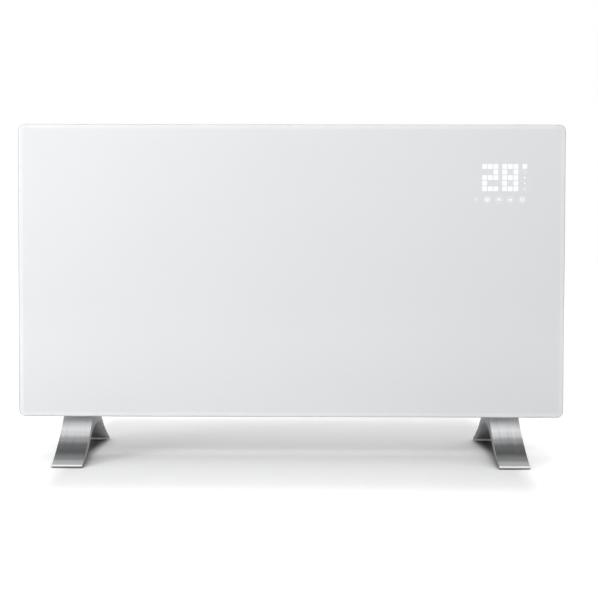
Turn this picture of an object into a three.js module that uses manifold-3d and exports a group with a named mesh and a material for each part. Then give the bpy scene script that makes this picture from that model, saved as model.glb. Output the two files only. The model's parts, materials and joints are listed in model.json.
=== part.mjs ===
// Glass-fronted panel convector heater on two extruded aluminium feet.
//
// Millimetres. +Z is up, the glass faces -Y and +X is to the right of someone looking at the glass.
// The origin is on the floor, midway between the feet and midway between their front and rear toes.
// A heater of this kind is a sheet of toughened glass bonded to a steel plate, with a shallow case behind it.
// Room air enters the grille under the case, passes over a finned element and leaves by the grille on top.

import * as THREE from "three";
import { mergeGeometries, mergeVertices } from "three/addons/utils/BufferGeometryUtils.js";
import Module from "manifold-3d";

const wasm = await Module();
wasm.setup();

// ---------------------------------------------------------------------------------------------
// Driving sizes
// ---------------------------------------------------------------------------------------------

const seatGap = 0.3; // left between two pieces that sit against each other

// Glass
const glassWidth = 850;
const glassHeight = 456;
const glassThickness = 5;
const glassCornerRadius = 10;
const glassBevelWidth = 6; // polished slope round the front face
const glassBevelDepth = 1.2;
const glassArris = 0.8; // small chamfer on the rear edge
const glassBottomZ = 65; // the glass's lower edge above the floor
const glassOverhang = 8; // the glass stands past the case by this much all round
const bondThickness = 1.4; // silicone bead between glass and front plate
const bondWidth = 14;
const bondInset = 8; // bead's outer edge in from the edge of the front plate

// Case
const caseDepth = 75;
const shellWall = 2.2;
const caseEdgeRadius = 12;
const cheekWidth = 22; // each moulded end of the case
const grilleLip = 24; // height of the grille's part on the back
const grilleFlange = 12; // hidden strip that the back panel is screwed to
const backSheet = 0.8;
const frontSheet = 0.8;
const frontFlange = 10; // folded edge of the front plate

// Air slots
const slotWidth = 3.8;
const grilleSlotPitch = 12;
const grilleSlotLength = 44;
const grilleEndMargin = 16;
const backSlotPitch = 20;
const backSlotHeight = 44;
const backSlotMargin = 18;
const lowerSlotsRise = 38; // from the case's lower edge to the lower row of back slots
const upperSlotsDrop = 46; // from the case's upper edge to the upper row of back slots

// Convection chamber
const electronicsWidth = 145; // the right end of the case, kept cool behind a partition
const partitionSheet = 1.2;
const shieldSheet = 1;
const shieldStandoff = 12.5; // from the front plate to the heat shield's face
const shieldEndMargin = 27; // from the chamber's bottom and top to the shield
const elementRise = 50; // element's axis above the case's lower edge
const elementCoreRadius = 6.5;
const elementFinReach = 29;
const elementFinThickness = 1.6;
const elementNotchWidth = 4;
const elementNotchPitch = 48;
const elementNotchRadius = 11;
const sheathRadius = 4;
const finEndGap = 16; // from the end of the fins to the bracket
const sheathOverhang = 13; // sheath's bare end past the bracket
const bracketSheet = 1.5;
const bracketClearance = 2; // element bracket from the foot's bracket
const bracketHalfWidth = 19;
const bracketFoot = 14;
const bracketAbove = 20;
const ceramicRadius = 8;
const ceramicShoulder = 2.6; // how far its shoulder stands past its body
const ceramicShoulderLength = 4;
const ceramicLength = 14;
const cutoutRadius = 8;
const cutoutBodyDepth = 8;
const cutoutFlange = 26;
const cutoutFlangeSheet = 1;
const cutoutRise = 75; // above the element's axis
const cutoutFromPartition = 140;

// Feet, whose side outline is measured from the photograph
const footWidth = 46;
const footDepth = 240;
const footFromEdge = 90.4; // from the glass's end to the middle of the foot
const footToeHeight = 2.8;
const footSoleLength = 13.5;
const footToeAngle = 23.5; // degrees, slope of the leg's outer face at the toe
const footOuterRadius = 300;
const footArchHeight = 47.5;
const footArchRadius = 85;
const footArchAngle = 35; // degrees, slope where the round arch meets the leg's inner face
const padProud = 0.8; // rubber strip's lower face below the metal sole
const padGroove = 1.4;
const padWidth = 7.5;
const padEndInset = 2.5;
const footScrewRadius = 2.4;
const footScrewSpacing = 22;
const footScrewHeadRadius = 4.4;
const footScrewHeadHeight = 5;
const footScrewSeat = 56; // height of the shoulder that the screw's head pulls on
const footScrewTail = 2; // thread past the bracket
const footBracketWidth = 74;
const footBracketDepth = 50;
const footBracketSheet = 3;

// Wall fixing and cord outlet on the back
const hangerSpacing = 500;
const hangerDrop = 128; // from the case's upper edge to the screw's resting place
const hangerWidth = 48;
const hangerHeight = 58;
const hangerSheet = 2.5;
const hangerHeadRadius = 5.5;
const hangerSlotRadius = 3;
const hangerSlotTravel = 14;
const hangerClearance = 3; // hole in the back panel round the keyhole
const glandFromEdge = 82; // from the case's right side
const glandRise = 58;
const glandBoreRadius = 4.2;
const glandBodyRadius = 7.5;
const glandFlangeRadius = 11;
const glandFlangeDepth = 2;
const glandBodyLength = 12;

// Back panel screws
const backScrewRadius = 1.9;
const backScrewHeadRadius = 3.8;
const backScrewHeadHeight = 2.2;
const backScrewLength = 8;
const backScrewInset = 60;
const backScrewsPerEdge = 3;

// Mains rocker switch in the right cheek
const switchRise = 70; // above the case's lower edge
const switchBezelHeight = 25;
const switchBezelWidth = 17;
const switchBezelDepth = 2;
const switchBodyHeight = 22;
const switchBodyWidth = 14;
const switchBodyDepth = 18;
const switchWall = 1.6;
const rockerThickness = 5.5;
const rockerSlack = 0.55; // between the rocker and the well it moves in
const rockerDip = 1.3; // how far the middle of its face lies below its ends
const rockerTilt = 9; // degrees either side of level
const rockerAxleRadius = 1.2;
const rockerAxleReach = 1;
const rockerAxleDepth = 3.4; // axle's axis below the bezel's face
const rockerAxleClearance = 0.4;

// Tip-over switch
const tiltFromEdge = 29; // from the case's right side
const tiltWidth = 17;
const tiltDepth = 24;
const tiltHeight = 42;
const tiltWall = 2;
const tiltArmLength = 20;
const tiltArmWidth = 4;
const tiltBobRadius = 6;
const tiltBobLength = 8;
const tiltAxleRadius = 1.5;
const tiltAxleReach = 1.2;
const tiltAxleClearance = 0.4;
const tiltAxleDrop = 8; // axle below the top of its frame
const tiltStopDrop = 6; // from the axle to the bars that the arm stops against
const tiltStopSize = [2, 3]; // depth and height of a stop bar

// Display and touch controls, placed by the marks in the photograph
const displayCellSize = 7.3;
const displayCellPitch = 8.7;
const displayDigitColumns = 3;
const displayRows = 5;
const displayFromRight = 116.8; // from the glass's right edge to the middle of the left digit
const displayFromTop = 82.25; // from the glass's top edge to the middle of the digits
const displayDigitPitch = 31;
const displayStatusShift = 22.2; // from the right digit to the column of small lamps
const displayStatusCell = 5.2;
const displayBoxMargin = 2.2;
const touchRowDrop = 34; // from the middle of the digits to the touch row
const touchRowShift = -4.5; // from the left digit to the first touch pad
const touchPitch = 18;
const touchNames = ["mode", "up", "down", "timer"];
const touchPadRadius = 4.5;
const boardThickness = 1.6;
const displayBoardMargin = 7;
const displayBoxDepth = 6.4;
const carrierWall = 2;
const carrierBackDepth = 6;
const carrierPost = 5;
const windowMargin = 3; // front plate's window round the display board
const wirelessWidth = 16;
const wirelessHeight = 20;
const wirelessDepth = 3;

// Power electronics
const trayWidth = 104;
const trayHeight = 158;
const trayBase = 2;
const trayRim = 11;
const trayWall = 2;
const trayPost = 8;
const trayBelowDisplay = 42.45; // from the display carrier's lower edge to the tray
const trayFromPartition = 14;
const trayPostHeight = 4;
const relaySize = [24, 18, 28]; // width, depth from the board, height
const transformerSize = [34, 24, 30];
const capacitorRadius = 8;
const capacitorLength = 22;
const terminalBlockSize = [46, 16, 20];
const terminalHoleRadius = 2.2;
const terminalWays = 3;
const partMargin = 8; // from a board's edge to the parts on it
const leadRadius = 1.6;
const leadHoleRadius = 4;
const ribbonWidth = 14;
const ribbonThickness = 0.8;
const ribbonLoop = 6;
const sensorBeadRadius = 2.5;
const sensorClipWidth = 12;
const sensorClipHeight = 16;
const sensorClipDepth = 8;
const sensorFromPartition = 14;

// ---------------------------------------------------------------------------------------------
// Planes and places worked out from the sizes
// ---------------------------------------------------------------------------------------------

const caseHalfWidth = glassWidth / 2 - glassOverhang;
const caseBottomZ = glassBottomZ + glassOverhang;
const caseTopZ = glassBottomZ + glassHeight - glassOverhang;
const caseFrontY = -caseDepth / 2;
const caseBackY = caseDepth / 2;
const glassBackY = caseFrontY - bondThickness - 2 * seatGap;
const glassFrontY = glassBackY - glassThickness;

const chamberBottomZ = caseBottomZ + shellWall + seatGap; // what stands on the lower grille
const chamberTopZ = caseTopZ - shellWall - seatGap;
const frontPlateHalfWidth = caseHalfWidth - shellWall - seatGap;
const frontPlateBackY = caseFrontY + frontSheet;
const backPanelOuterY = caseBackY - shellWall + seatGap + backSheet;
const backPanelInnerY = backPanelOuterY - backSheet;
const backPanelHalfWidth = caseHalfWidth - cheekWidth - seatGap;
const backPanelBottomZ = caseBottomZ + grilleLip + seatGap;
const backPanelTopZ = caseTopZ - grilleLip - seatGap;

const footCentreX = glassWidth / 2 - footFromEdge;
const partitionX = caseHalfWidth - electronicsWidth; // its left face
const partitionRightX = partitionX + partitionSheet;
const chamberFrontY = caseFrontY + frontFlange + 2 * seatGap; // clear of the front plate's folded edges
const chamberBackY = caseBackY - 2 * shellWall - seatGap; // clear of the grilles' hidden strips
const shieldFaceY = frontPlateBackY + shieldStandoff;
const elementY = (shieldFaceY + backPanelInnerY) / 2;
const elementZ = caseBottomZ + elementRise;
const bracketX = -(footCentreX + footBracketWidth / 2 + bracketClearance); // its right face
const finsLeftX = bracketX + finEndGap;
const finsRightX = partitionX - finEndGap;
const sheathLeftX = bracketX - bracketSheet - sheathOverhang;
const sheathRightX = partitionRightX + sheathOverhang;
const leadY = elementY - bracketHalfWidth - leadRadius - 2; // passes in front of the element bracket
const leadZ = elementZ - elementFinReach - leadRadius; // and below the fins

const footTopZ = caseBottomZ - seatGap;
const glandX = caseHalfWidth - glandFromEdge;
const glandZ = caseBottomZ + glandRise;
const switchZ = caseBottomZ + switchRise;
const tiltX = caseHalfWidth - tiltFromEdge;
const hangerZ = caseTopZ - hangerDrop;

const displayFirstDigitX = glassWidth / 2 - displayFromRight;
const displaySecondDigitX = displayFirstDigitX + displayDigitPitch;
const displayStatusX = displaySecondDigitX + displayStatusShift;
const displayMiddleZ = glassBottomZ + glassHeight - displayFromTop;
const touchFirstX = displayFirstDigitX + touchRowShift;
const touchRowZ = displayMiddleZ - touchRowDrop;
const displayHalfHeight = ((displayRows - 1) * displayCellPitch + displayCellSize) / 2;
const displayTopZ = displayMiddleZ + displayHalfHeight;
const displayLeftX = displayFirstDigitX
  - ((displayDigitColumns - 1) * displayCellPitch + displayCellSize) / 2;
const displayRightX = displayStatusX + displayCellSize / 2;
const boardLeftX = displayLeftX - displayBoardMargin;
const boardRightX = displayRightX + displayBoardMargin;
const boardTopZ = displayTopZ + displayBoardMargin;
const boardBottomZ = touchRowZ - touchPadRadius - displayBoardMargin / 2;
const lightBoxFrontY = glassBackY + seatGap;
const lightBoxBackY = lightBoxFrontY + displayBoxDepth;
const displayBoardFrontY = lightBoxBackY + seatGap;
const displayBoardBackY = displayBoardFrontY + boardThickness;
const carrierFrontY = frontPlateBackY + seatGap;
const carrierBorder = seatGap + windowMargin + carrierWall; // round the display board
const carrierBottomZ = boardBottomZ - carrierBorder;
const carrierBackY = displayBoardBackY + carrierBackDepth;

const trayLeftX = partitionRightX + trayFromPartition;
const trayRightX = trayLeftX + trayWidth;
const trayTopZ = carrierBottomZ - trayBelowDisplay;
const trayBottomZ = trayTopZ - trayHeight;
const trayFrontY = frontPlateBackY + seatGap;
const trayFloorY = trayFrontY + trayBase;
const powerBoardFrontY = trayFloorY + trayPostHeight + seatGap;
const powerBoardBackY = powerBoardFrontY + boardThickness;

const degrees = Math.PI / 180;
const roundSegments = 20;

// ---------------------------------------------------------------------------------------------
// Geometry helpers
// ---------------------------------------------------------------------------------------------

const axisX = new THREE.Vector3(1, 0, 0);
const axisY = new THREE.Vector3(0, 1, 0);
const axisZ = new THREE.Vector3(0, 0, 1);

// A manifold solid from a closed geometry.
function toSolid(geometry) {
  const bare = geometry.index ? geometry.toNonIndexed() : geometry.clone();
  bare.deleteAttribute("normal");
  bare.deleteAttribute("uv");
  const merged = mergeVertices(bare, 1e-4);
  return new wasm.Manifold(new wasm.Mesh({
    numProp: 3,
    vertProperties: merged.attributes.position.array,
    triVerts: new Uint32Array(merged.index.array),
  }));
}

function toGeometry(solid) {
  const mesh = solid.getMesh();
  const geometry = new THREE.BufferGeometry();
  geometry.setAttribute("position", new THREE.BufferAttribute(new Float32Array(mesh.vertProperties), 3));
  geometry.setIndex(new THREE.BufferAttribute(new Uint32Array(mesh.triVerts), 1));
  geometry.computeVertexNormals();
  return geometry;
}

function cut(geometry, ...tools) {
  return toGeometry(tools.reduce((solid, tool) => solid.subtract(toSolid(tool)), toSolid(geometry)));
}

function join(geometry, ...others) {
  return toGeometry(others.reduce((solid, other) => solid.add(toSolid(other)), toSolid(geometry)));
}

function common(geometry, other) {
  return toGeometry(toSolid(geometry).intersect(toSolid(other)));
}

// A box between two x, two y and two z values.
function block(x0, x1, y0, y1, z0, z1) {
  return new THREE.BoxGeometry(x1 - x0, y1 - y0, z1 - z0)
    .translate((x0 + x1) / 2, (y0 + y1) / 2, (z0 + z1) / 2);
}

// A round bar from a point along an axis.
function bar(radius, length, axis, x, y, z, segments = roundSegments) {
  const turn = new THREE.Quaternion().setFromUnitVectors(axisY, axis);
  return new THREE.CylinderGeometry(radius, radius, length, segments)
    .translate(0, length / 2, 0)
    .applyQuaternion(turn)
    .translate(x, y, z);
}

// A turned piece: profile points are radius and distance along the axis, which starts at the point given.
function turned(points, axis, x, y, z, segments = roundSegments) {
  const turn = new THREE.Quaternion().setFromUnitVectors(axisY, axis);
  return new THREE.LatheGeometry(points.map(([r, along]) => new THREE.Vector2(r, along)), segments)
    .applyQuaternion(turn)
    .translate(x, y, z);
}

function extrude(shape, depth, curveSegments) {
  return new THREE.ExtrudeGeometry(shape, { depth, bevelEnabled: false, curveSegments });
}

// A shape drawn in y and z, swept from x0 to x1.
function sweepX(shape, x0, x1, curveSegments = 6) {
  const basis = new THREE.Matrix4().makeBasis(axisY, axisZ, axisX);
  return extrude(shape, x1 - x0, curveSegments).applyMatrix4(basis).translate(x0, 0, 0);
}

// A shape drawn in x and z, swept from y0 to y1.
function sweepY(shape, y0, y1, curveSegments = 6) {
  const basis = new THREE.Matrix4().makeBasis(axisX, axisZ, axisY.clone().negate());
  return extrude(shape, y1 - y0, curveSegments).applyMatrix4(basis).translate(0, y1, 0);
}

// A shape drawn in x and y, swept from z0 to z1.
function sweepZ(shape, z0, z1, curveSegments = 6) {
  return extrude(shape, z1 - z0, curveSegments).translate(0, 0, z0);
}

function polygon(points) {
  return new THREE.Shape(points.map(([u, v]) => new THREE.Vector2(u, v)));
}

function rectangle(u0, u1, v0, v1) {
  return polygon([[u0, v0], [u1, v0], [u1, v1], [u0, v1]]);
}

// Points along an arc that starts at a point and turns from one slope to another.
function slopeArc(u, v, radius, fromAngle, toAngle, steps) {
  return Array.from({ length: steps + 1 }, (_, i) => {
    const angle = fromAngle + ((toAngle - fromAngle) * i) / steps;
    return [
      u + radius * (Math.sin(angle) - Math.sin(fromAngle)),
      v + radius * (Math.cos(fromAngle) - Math.cos(angle)),
    ];
  });
}

// Evenly pitched places, centred between two limits.
function spread(low, high, pitch) {
  const count = Math.max(1, Math.floor((high - low) / pitch) + 1);
  const first = (low + high) / 2 - ((count - 1) * pitch) / 2;
  return Array.from({ length: count }, (_, i) => first + i * pitch);
}

// A corner-rounded outline in x and z as a ring of points, for joining into a loft.
function roundedRing(halfWidth, halfHeight, radius, y, centreZ, steps = 8) {
  const ring = [];
  for (const [sx, sz, start] of [[1, 1, 0], [-1, 1, 90], [-1, -1, 180], [1, -1, 270]]) {
    for (let i = 0; i <= steps; i++) {
      const angle = (start + (90 * i) / steps) * degrees;
      ring.push([
        sx * (halfWidth - radius) + radius * Math.cos(angle),
        y,
        centreZ + sz * (halfHeight - radius) + radius * Math.sin(angle),
      ]);
    }
  }
  return ring;
}

// A closed solid through rings of equally many points that run from front to back.
function loft(rings) {
  const count = rings[0].length;
  const positions = rings.flat(2);
  const faces = [];
  for (let k = 0; k + 1 < rings.length; k++) {
    for (let i = 0; i < count; i++) {
      const a = k * count + i;
      const b = k * count + ((i + 1) % count);
      faces.push(a, a + count, b, b, a + count, b + count);
    }
  }
  const last = (rings.length - 1) * count;
  for (let i = 1; i + 1 < count; i++) {
    faces.push(0, i, i + 1);
    faces.push(last, last + i + 1, last + i);
  }
  const geometry = new THREE.BufferGeometry();
  geometry.setAttribute("position", new THREE.Float32BufferAttribute(positions, 3));
  geometry.setIndex(faces);
  geometry.computeVertexNormals();
  return geometry;
}

// A round lead through points.
function lead(points, radius = leadRadius) {
  const path = new THREE.CatmullRomCurve3(points.map((p) => new THREE.Vector3(...p)), false, "centripetal");
  const sides = 6;
  const section = polygon(Array.from({ length: sides }, (_, i) => [
    radius * Math.cos((2 * Math.PI * i) / sides),
    radius * Math.sin((2 * Math.PI * i) / sides),
  ]));
  const steps = Math.min(42, Math.ceil(path.getLength() / (5 * radius)));
  return new THREE.ExtrudeGeometry(section, { steps, extrudePath: path, bevelEnabled: false });
}

// ---------------------------------------------------------------------------------------------
// Materials
// ---------------------------------------------------------------------------------------------

function finish(color, roughness, metalness) {
  return new THREE.MeshStandardMaterial({ color, roughness, metalness, flatShading: true });
}

const materials = {
  whiteGlass: finish(0xe6e8ea, 0.06, 0),
  powderCoat: finish(0xeceeee, 0.5, 0),
  whitePlastic: finish(0xe9ebeb, 0.45, 0),
  aluminium: finish(0xb4b6ba, 0.32, 1),
  steel: finish(0x9b9ea3, 0.4, 1),
  zincSteel: finish(0xbfc2c4, 0.45, 1),
  darkSteel: finish(0x4a4c50, 0.5, 1),
  ceramic: finish(0xf1ece0, 0.6, 0),
  rubber: finish(0x4d4e52, 0.85, 0),
  silicone: finish(0xd8dadc, 0.7, 0),
  blackPlastic: finish(0x26272a, 0.5, 0),
  circuitBoard: finish(0x1d5c3a, 0.55, 0),
  copper: finish(0xb87848, 0.4, 1),
  leadSleeve: finish(0xb9402f, 0.7, 0),
};

const heater = new THREE.Group();

function add(name, geometry, material, parent = heater) {
  const mesh = new THREE.Mesh(geometry, material);
  mesh.name = name;
  parent.add(mesh);
  return mesh;
}

// ---------------------------------------------------------------------------------------------
// Glass front
// ---------------------------------------------------------------------------------------------

function frontGlass() {
  const halfWidth = glassWidth / 2;
  const halfHeight = glassHeight / 2;
  const centreZ = glassBottomZ + halfHeight;
  // Inset from the edge and distance behind the front face, from front to back.
  const edge = [
    [glassBevelWidth, 0],
    [glassBevelWidth / 2, glassBevelDepth * 0.22],
    [glassBevelWidth / 6, glassBevelDepth * 0.6],
    [0, glassBevelDepth],
    [0, glassThickness - glassArris],
    [glassArris, glassThickness],
  ];
  return loft(edge.map(([inset, depth]) => roundedRing(
    halfWidth - inset,
    halfHeight - inset,
    Math.max(glassCornerRadius - inset, 0.5),
    glassFrontY + depth,
    centreZ,
  )));
}

function glassBond() {
  const outerX = frontPlateHalfWidth - bondInset;
  const outerBottomZ = chamberBottomZ + bondInset;
  const outerTopZ = chamberTopZ - bondInset;
  const shape = rectangle(-outerX, outerX, outerBottomZ, outerTopZ);
  shape.holes.push(rectangle(
    -outerX + bondWidth,
    outerX - bondWidth,
    outerBottomZ + bondWidth,
    outerTopZ - bondWidth,
  ));
  return sweepY(shape, glassBackY + seatGap, glassBackY + seatGap + bondThickness);
}

function frontPlate() {
  const inner = frontPlateHalfWidth - frontSheet;
  const tray = cut(
    block(-frontPlateHalfWidth, frontPlateHalfWidth, caseFrontY, caseFrontY + frontFlange,
      chamberBottomZ, chamberTopZ),
    block(-inner, inner, frontPlateBackY, caseBackY,
      chamberBottomZ + frontSheet, chamberTopZ - frontSheet),
  );
  const window = block(boardLeftX - windowMargin, boardRightX + windowMargin, glassBackY, frontPlateBackY + 1,
    boardBottomZ - windowMargin, boardTopZ + windowMargin);
  return cut(tray, window);
}

// ---------------------------------------------------------------------------------------------
// Case
// ---------------------------------------------------------------------------------------------

// The case's outline from the side, drawn in y and z and taken in by an inset.
function caseSideShape(inset, frontY) {
  const radius = caseEdgeRadius - inset;
  const backY = caseBackY - inset;
  const bottomZ = caseBottomZ + inset;
  const topZ = caseTopZ - inset;
  const shape = new THREE.Shape();
  shape.moveTo(frontY, bottomZ);
  shape.lineTo(backY - radius, bottomZ);
  shape.absarc(backY - radius, bottomZ + radius, radius, -Math.PI / 2, 0, false);
  shape.lineTo(backY, topZ - radius);
  shape.absarc(backY - radius, topZ - radius, radius, 0, Math.PI / 2, false);
  shape.lineTo(frontY, topZ);
  shape.closePath();
  return shape;
}

// A cheek's outline from above, drawn in x and y on the right and taken in by an inset.
function cheekPlanShape(inset, innerX, frontY) {
  const radius = caseEdgeRadius - inset;
  const outerX = caseHalfWidth - inset;
  const backY = caseBackY - inset;
  const shape = new THREE.Shape();
  shape.moveTo(innerX, frontY);
  shape.lineTo(outerX, frontY);
  shape.lineTo(outerX, backY - radius);
  shape.absarc(outerX - radius, backY - radius, radius, 0, Math.PI / 2, false);
  shape.lineTo(innerX, backY);
  shape.closePath();
  return shape;
}

function cheekSolid(inset, innerX, frontY) {
  return common(
    sweepX(caseSideShape(inset, frontY), innerX, caseHalfWidth - inset),
    sweepZ(cheekPlanShape(inset, innerX, frontY), caseBottomZ + inset, caseTopZ - inset),
  );
}

// A moulded end, open towards the middle of the case and towards the glass.
function rightCheek() {
  const innerX = caseHalfWidth - cheekWidth;
  return cut(
    cheekSolid(0, innerX, caseFrontY),
    cheekSolid(shellWall, innerX - 1, caseFrontY - 1),
  );
}

function rightCheekWithSwitchHole() {
  const halfWidth = switchBodyWidth / 2 + seatGap;
  const halfHeight = switchBodyHeight / 2 + seatGap;
  return cut(rightCheek(), block(
    caseHalfWidth - 2 * shellWall, caseHalfWidth + 1,
    -halfWidth, halfWidth,
    switchZ - halfHeight, switchZ + halfHeight,
  ));
}

function leftCheek() {
  return toGeometry(toSolid(rightCheek()).mirror([1, 0, 0]));
}

// The grille's section: a slotted wall, a round rear edge, a lip on the back and a hidden strip to screw to.
// side is 1 for the upper grille and -1 for the lower one.
function grilleShape(side) {
  const outerZ = side > 0 ? caseTopZ : caseBottomZ;
  const z = (depth) => outerZ - side * depth;
  const innerRadius = caseEdgeRadius - shellWall;
  const centreY = caseBackY - caseEdgeRadius;
  const bend = (radius, steps, outward) => Array.from({ length: steps + 1 }, (_, i) => {
    const angle = ((outward ? i : steps - i) / steps) * (Math.PI / 2);
    return [centreY + radius * Math.sin(angle), z(caseEdgeRadius - radius * Math.cos(angle))];
  });
  return polygon([
    [caseFrontY, z(0)],
    ...bend(caseEdgeRadius, 6, true),
    [caseBackY, z(grilleLip)],
    [caseBackY - shellWall, z(grilleLip)],
    [caseBackY - shellWall, z(grilleLip + grilleFlange)],
    [caseBackY - 2 * shellWall, z(grilleLip + grilleFlange)],
    [caseBackY - 2 * shellWall, z(grilleLip - shellWall)],
    [caseBackY - shellWall, z(grilleLip - shellWall)],
    ...bend(innerRadius, 6, false),
    [caseFrontY, z(shellWall)],
  ]);
}

const grilleHalfLength = caseHalfWidth - cheekWidth - seatGap;
const grilleSlotFrontY = chamberFrontY + seatGap;

function grilleSlots(side, skip) {
  const outerZ = side > 0 ? caseTopZ : caseBottomZ;
  const limit = grilleHalfLength - grilleEndMargin;
  return spread(-limit, limit, grilleSlotPitch)
    .filter((x) => !skip(x))
    .map((x) => block(
      x - slotWidth / 2, x + slotWidth / 2,
      grilleSlotFrontY, grilleSlotFrontY + grilleSlotLength,
      outerZ - 2 * shellWall, outerZ + 2 * shellWall,
    ));
}

// Pilot holes for the back panel's screws through a grille's hidden strip.
function backScrewPlaces() {
  const limit = grilleHalfLength - backScrewInset;
  const places = [];
  for (const z of [backPanelBottomZ + grilleFlange / 2, backPanelTopZ - grilleFlange / 2]) {
    for (let i = 0; i < backScrewsPerEdge; i++) {
      places.push([-limit + (2 * limit * i) / (backScrewsPerEdge - 1), z]);
    }
  }
  return places;
}

function backScrewHoles() {
  return backScrewPlaces().map(([x, z]) =>
    bar(backScrewRadius + seatGap, 4 * shellWall, axisY, x, caseBackY - 3 * shellWall, z, 12));
}

function footScrewPlaces(side) {
  return [-1, 1].map((end) => [side * footCentreX, (end * footScrewSpacing) / 2]);
}

function footScrewHoles(side, z0, z1) {
  return footScrewPlaces(side).map(([x, y]) =>
    bar(footScrewRadius + seatGap, z1 - z0, axisZ, x, y, z0, 16));
}

function upperGrille() {
  const body = sweepX(grilleShape(1), -grilleHalfLength, grilleHalfLength);
  return cut(body, mergeGeometries(grilleSlots(1, () => false)), mergeGeometries(backScrewHoles()));
}

function lowerGrille() {
  const body = sweepX(grilleShape(-1), -grilleHalfLength, grilleHalfLength);
  const clear = (footBracketWidth + slotWidth) / 2;
  const overFoot = (x) => Math.abs(Math.abs(x) - footCentreX) < clear;
  const footHoles = [-1, 1].flatMap((side) =>
    footScrewHoles(side, caseBottomZ - shellWall, caseBottomZ + 2 * shellWall));
  return cut(
    body,
    mergeGeometries(grilleSlots(-1, overFoot)),
    mergeGeometries([...backScrewHoles(), ...footHoles]),
  );
}

// A flat sheet with two rows of upright air slots over the convection chamber.
function backPanel() {
  const sheet = block(-backPanelHalfWidth, backPanelHalfWidth, backPanelInnerY, backPanelOuterY,
    backPanelBottomZ, backPanelTopZ);
  const rows = [
    caseBottomZ + lowerSlotsRise,
    caseTopZ - upperSlotsDrop - backSlotHeight,
  ];
  const throughFrontY = caseBackY - 3 * shellWall;
  const throughBackY = caseBackY + 3 * shellWall;
  const slots = rows.flatMap((z) =>
    spread(-backPanelHalfWidth + backSlotMargin, partitionX - backSlotMargin, backSlotPitch)
      .map((x) => block(
        x - slotWidth / 2, x + slotWidth / 2, throughFrontY, throughBackY, z, z + backSlotHeight,
      )));
  const through = throughBackY - throughFrontY;
  const glandHole = bar(glandBodyRadius + seatGap, through, axisY, glandX, throughFrontY, glandZ);
  return cut(
    sheet,
    mergeGeometries(slots),
    mergeGeometries(backScrewHoles()),
    glandHole,
    ...[-1, 1].map(hangerClearanceHole),
  );
}

function backScrew() {
  const seat = seatGap;
  return turned([
    [0, -backScrewLength],
    [backScrewRadius, -backScrewLength],
    [backScrewRadius, seat],
    [backScrewHeadRadius, seat],
    [backScrewHeadRadius, seat + backScrewHeadHeight * 0.5],
    [backScrewHeadRadius * 0.6, seat + backScrewHeadHeight],
    [0, seat + backScrewHeadHeight],
  ], axisY, 0, 0, 0, 12);
}

// ---------------------------------------------------------------------------------------------
// Wall fixing and cord outlet
// ---------------------------------------------------------------------------------------------

// A keyhole: the screw's head goes in at the bottom and its neck slides up the slot.
function keyholeShape(centreX, grow) {
  const head = hangerHeadRadius + grow;
  const neck = hangerSlotRadius + grow;
  const shoulder = Math.asin(neck / head);
  const headZ = hangerZ - hangerSlotTravel;
  const shape = new THREE.Path();
  shape.moveTo(centreX + neck, hangerZ);
  shape.absarc(centreX, hangerZ, neck, 0, Math.PI, false);
  shape.absarc(centreX, headZ, head, Math.PI / 2 + shoulder, Math.PI / 2 - shoulder + 2 * Math.PI, false);
  shape.closePath();
  return shape;
}

function hangerPlate(side) {
  const centreX = (side * hangerSpacing) / 2;
  const middleZ = hangerZ - hangerSlotTravel / 2;
  const shape = rectangle(
    centreX - hangerWidth / 2, centreX + hangerWidth / 2,
    middleZ - hangerHeight / 2, middleZ + hangerHeight / 2,
  );
  shape.holes.push(keyholeShape(centreX, 0));
  const frontY = backPanelOuterY + seatGap;
  return sweepY(shape, frontY, frontY + hangerSheet, 8);
}

// The back panel is open behind each keyhole, so that a screw's head has room.
function hangerClearanceHole(side) {
  const centreX = (side * hangerSpacing) / 2;
  const reach = hangerHeadRadius + hangerClearance;
  return block(
    centreX - reach, centreX + reach, caseBackY - 4 * shellWall, caseBackY + 2 * shellWall,
    hangerZ - hangerSlotTravel - reach, hangerZ + hangerSlotRadius + hangerClearance,
  );
}

function cordGland() {
  const seat = backPanelOuterY + seatGap;
  const collarBack = backPanelInnerY - seatGap - seat;
  const collar = glandBodyRadius + 1;
  return turned([
    [glandBoreRadius, -glandBodyLength],
    [glandBodyRadius - 1, -glandBodyLength],
    [collar, collarBack - 1.5],
    [collar, collarBack],
    [glandBodyRadius, collarBack],
    [glandBodyRadius, 0],
    [glandFlangeRadius, 0],
    [glandFlangeRadius, glandFlangeDepth * 0.6],
    [glandFlangeRadius - 1.5, glandFlangeDepth],
    [glandBoreRadius, glandFlangeDepth],
    [glandBoreRadius, -glandBodyLength],
  ], axisY, glandX, seat, glandZ, 24);
}

// ---------------------------------------------------------------------------------------------
// Mains rocker switch, whose rocker turns about y
// ---------------------------------------------------------------------------------------------

const switchFaceX = caseHalfWidth + seatGap + switchBezelDepth;
const rockerAxisX = switchFaceX - rockerAxleDepth;
const switchWellHalfWidth = switchBodyWidth / 2 - switchWall;
const switchWellHalfHeight = switchBodyHeight / 2 - switchWall;

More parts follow.
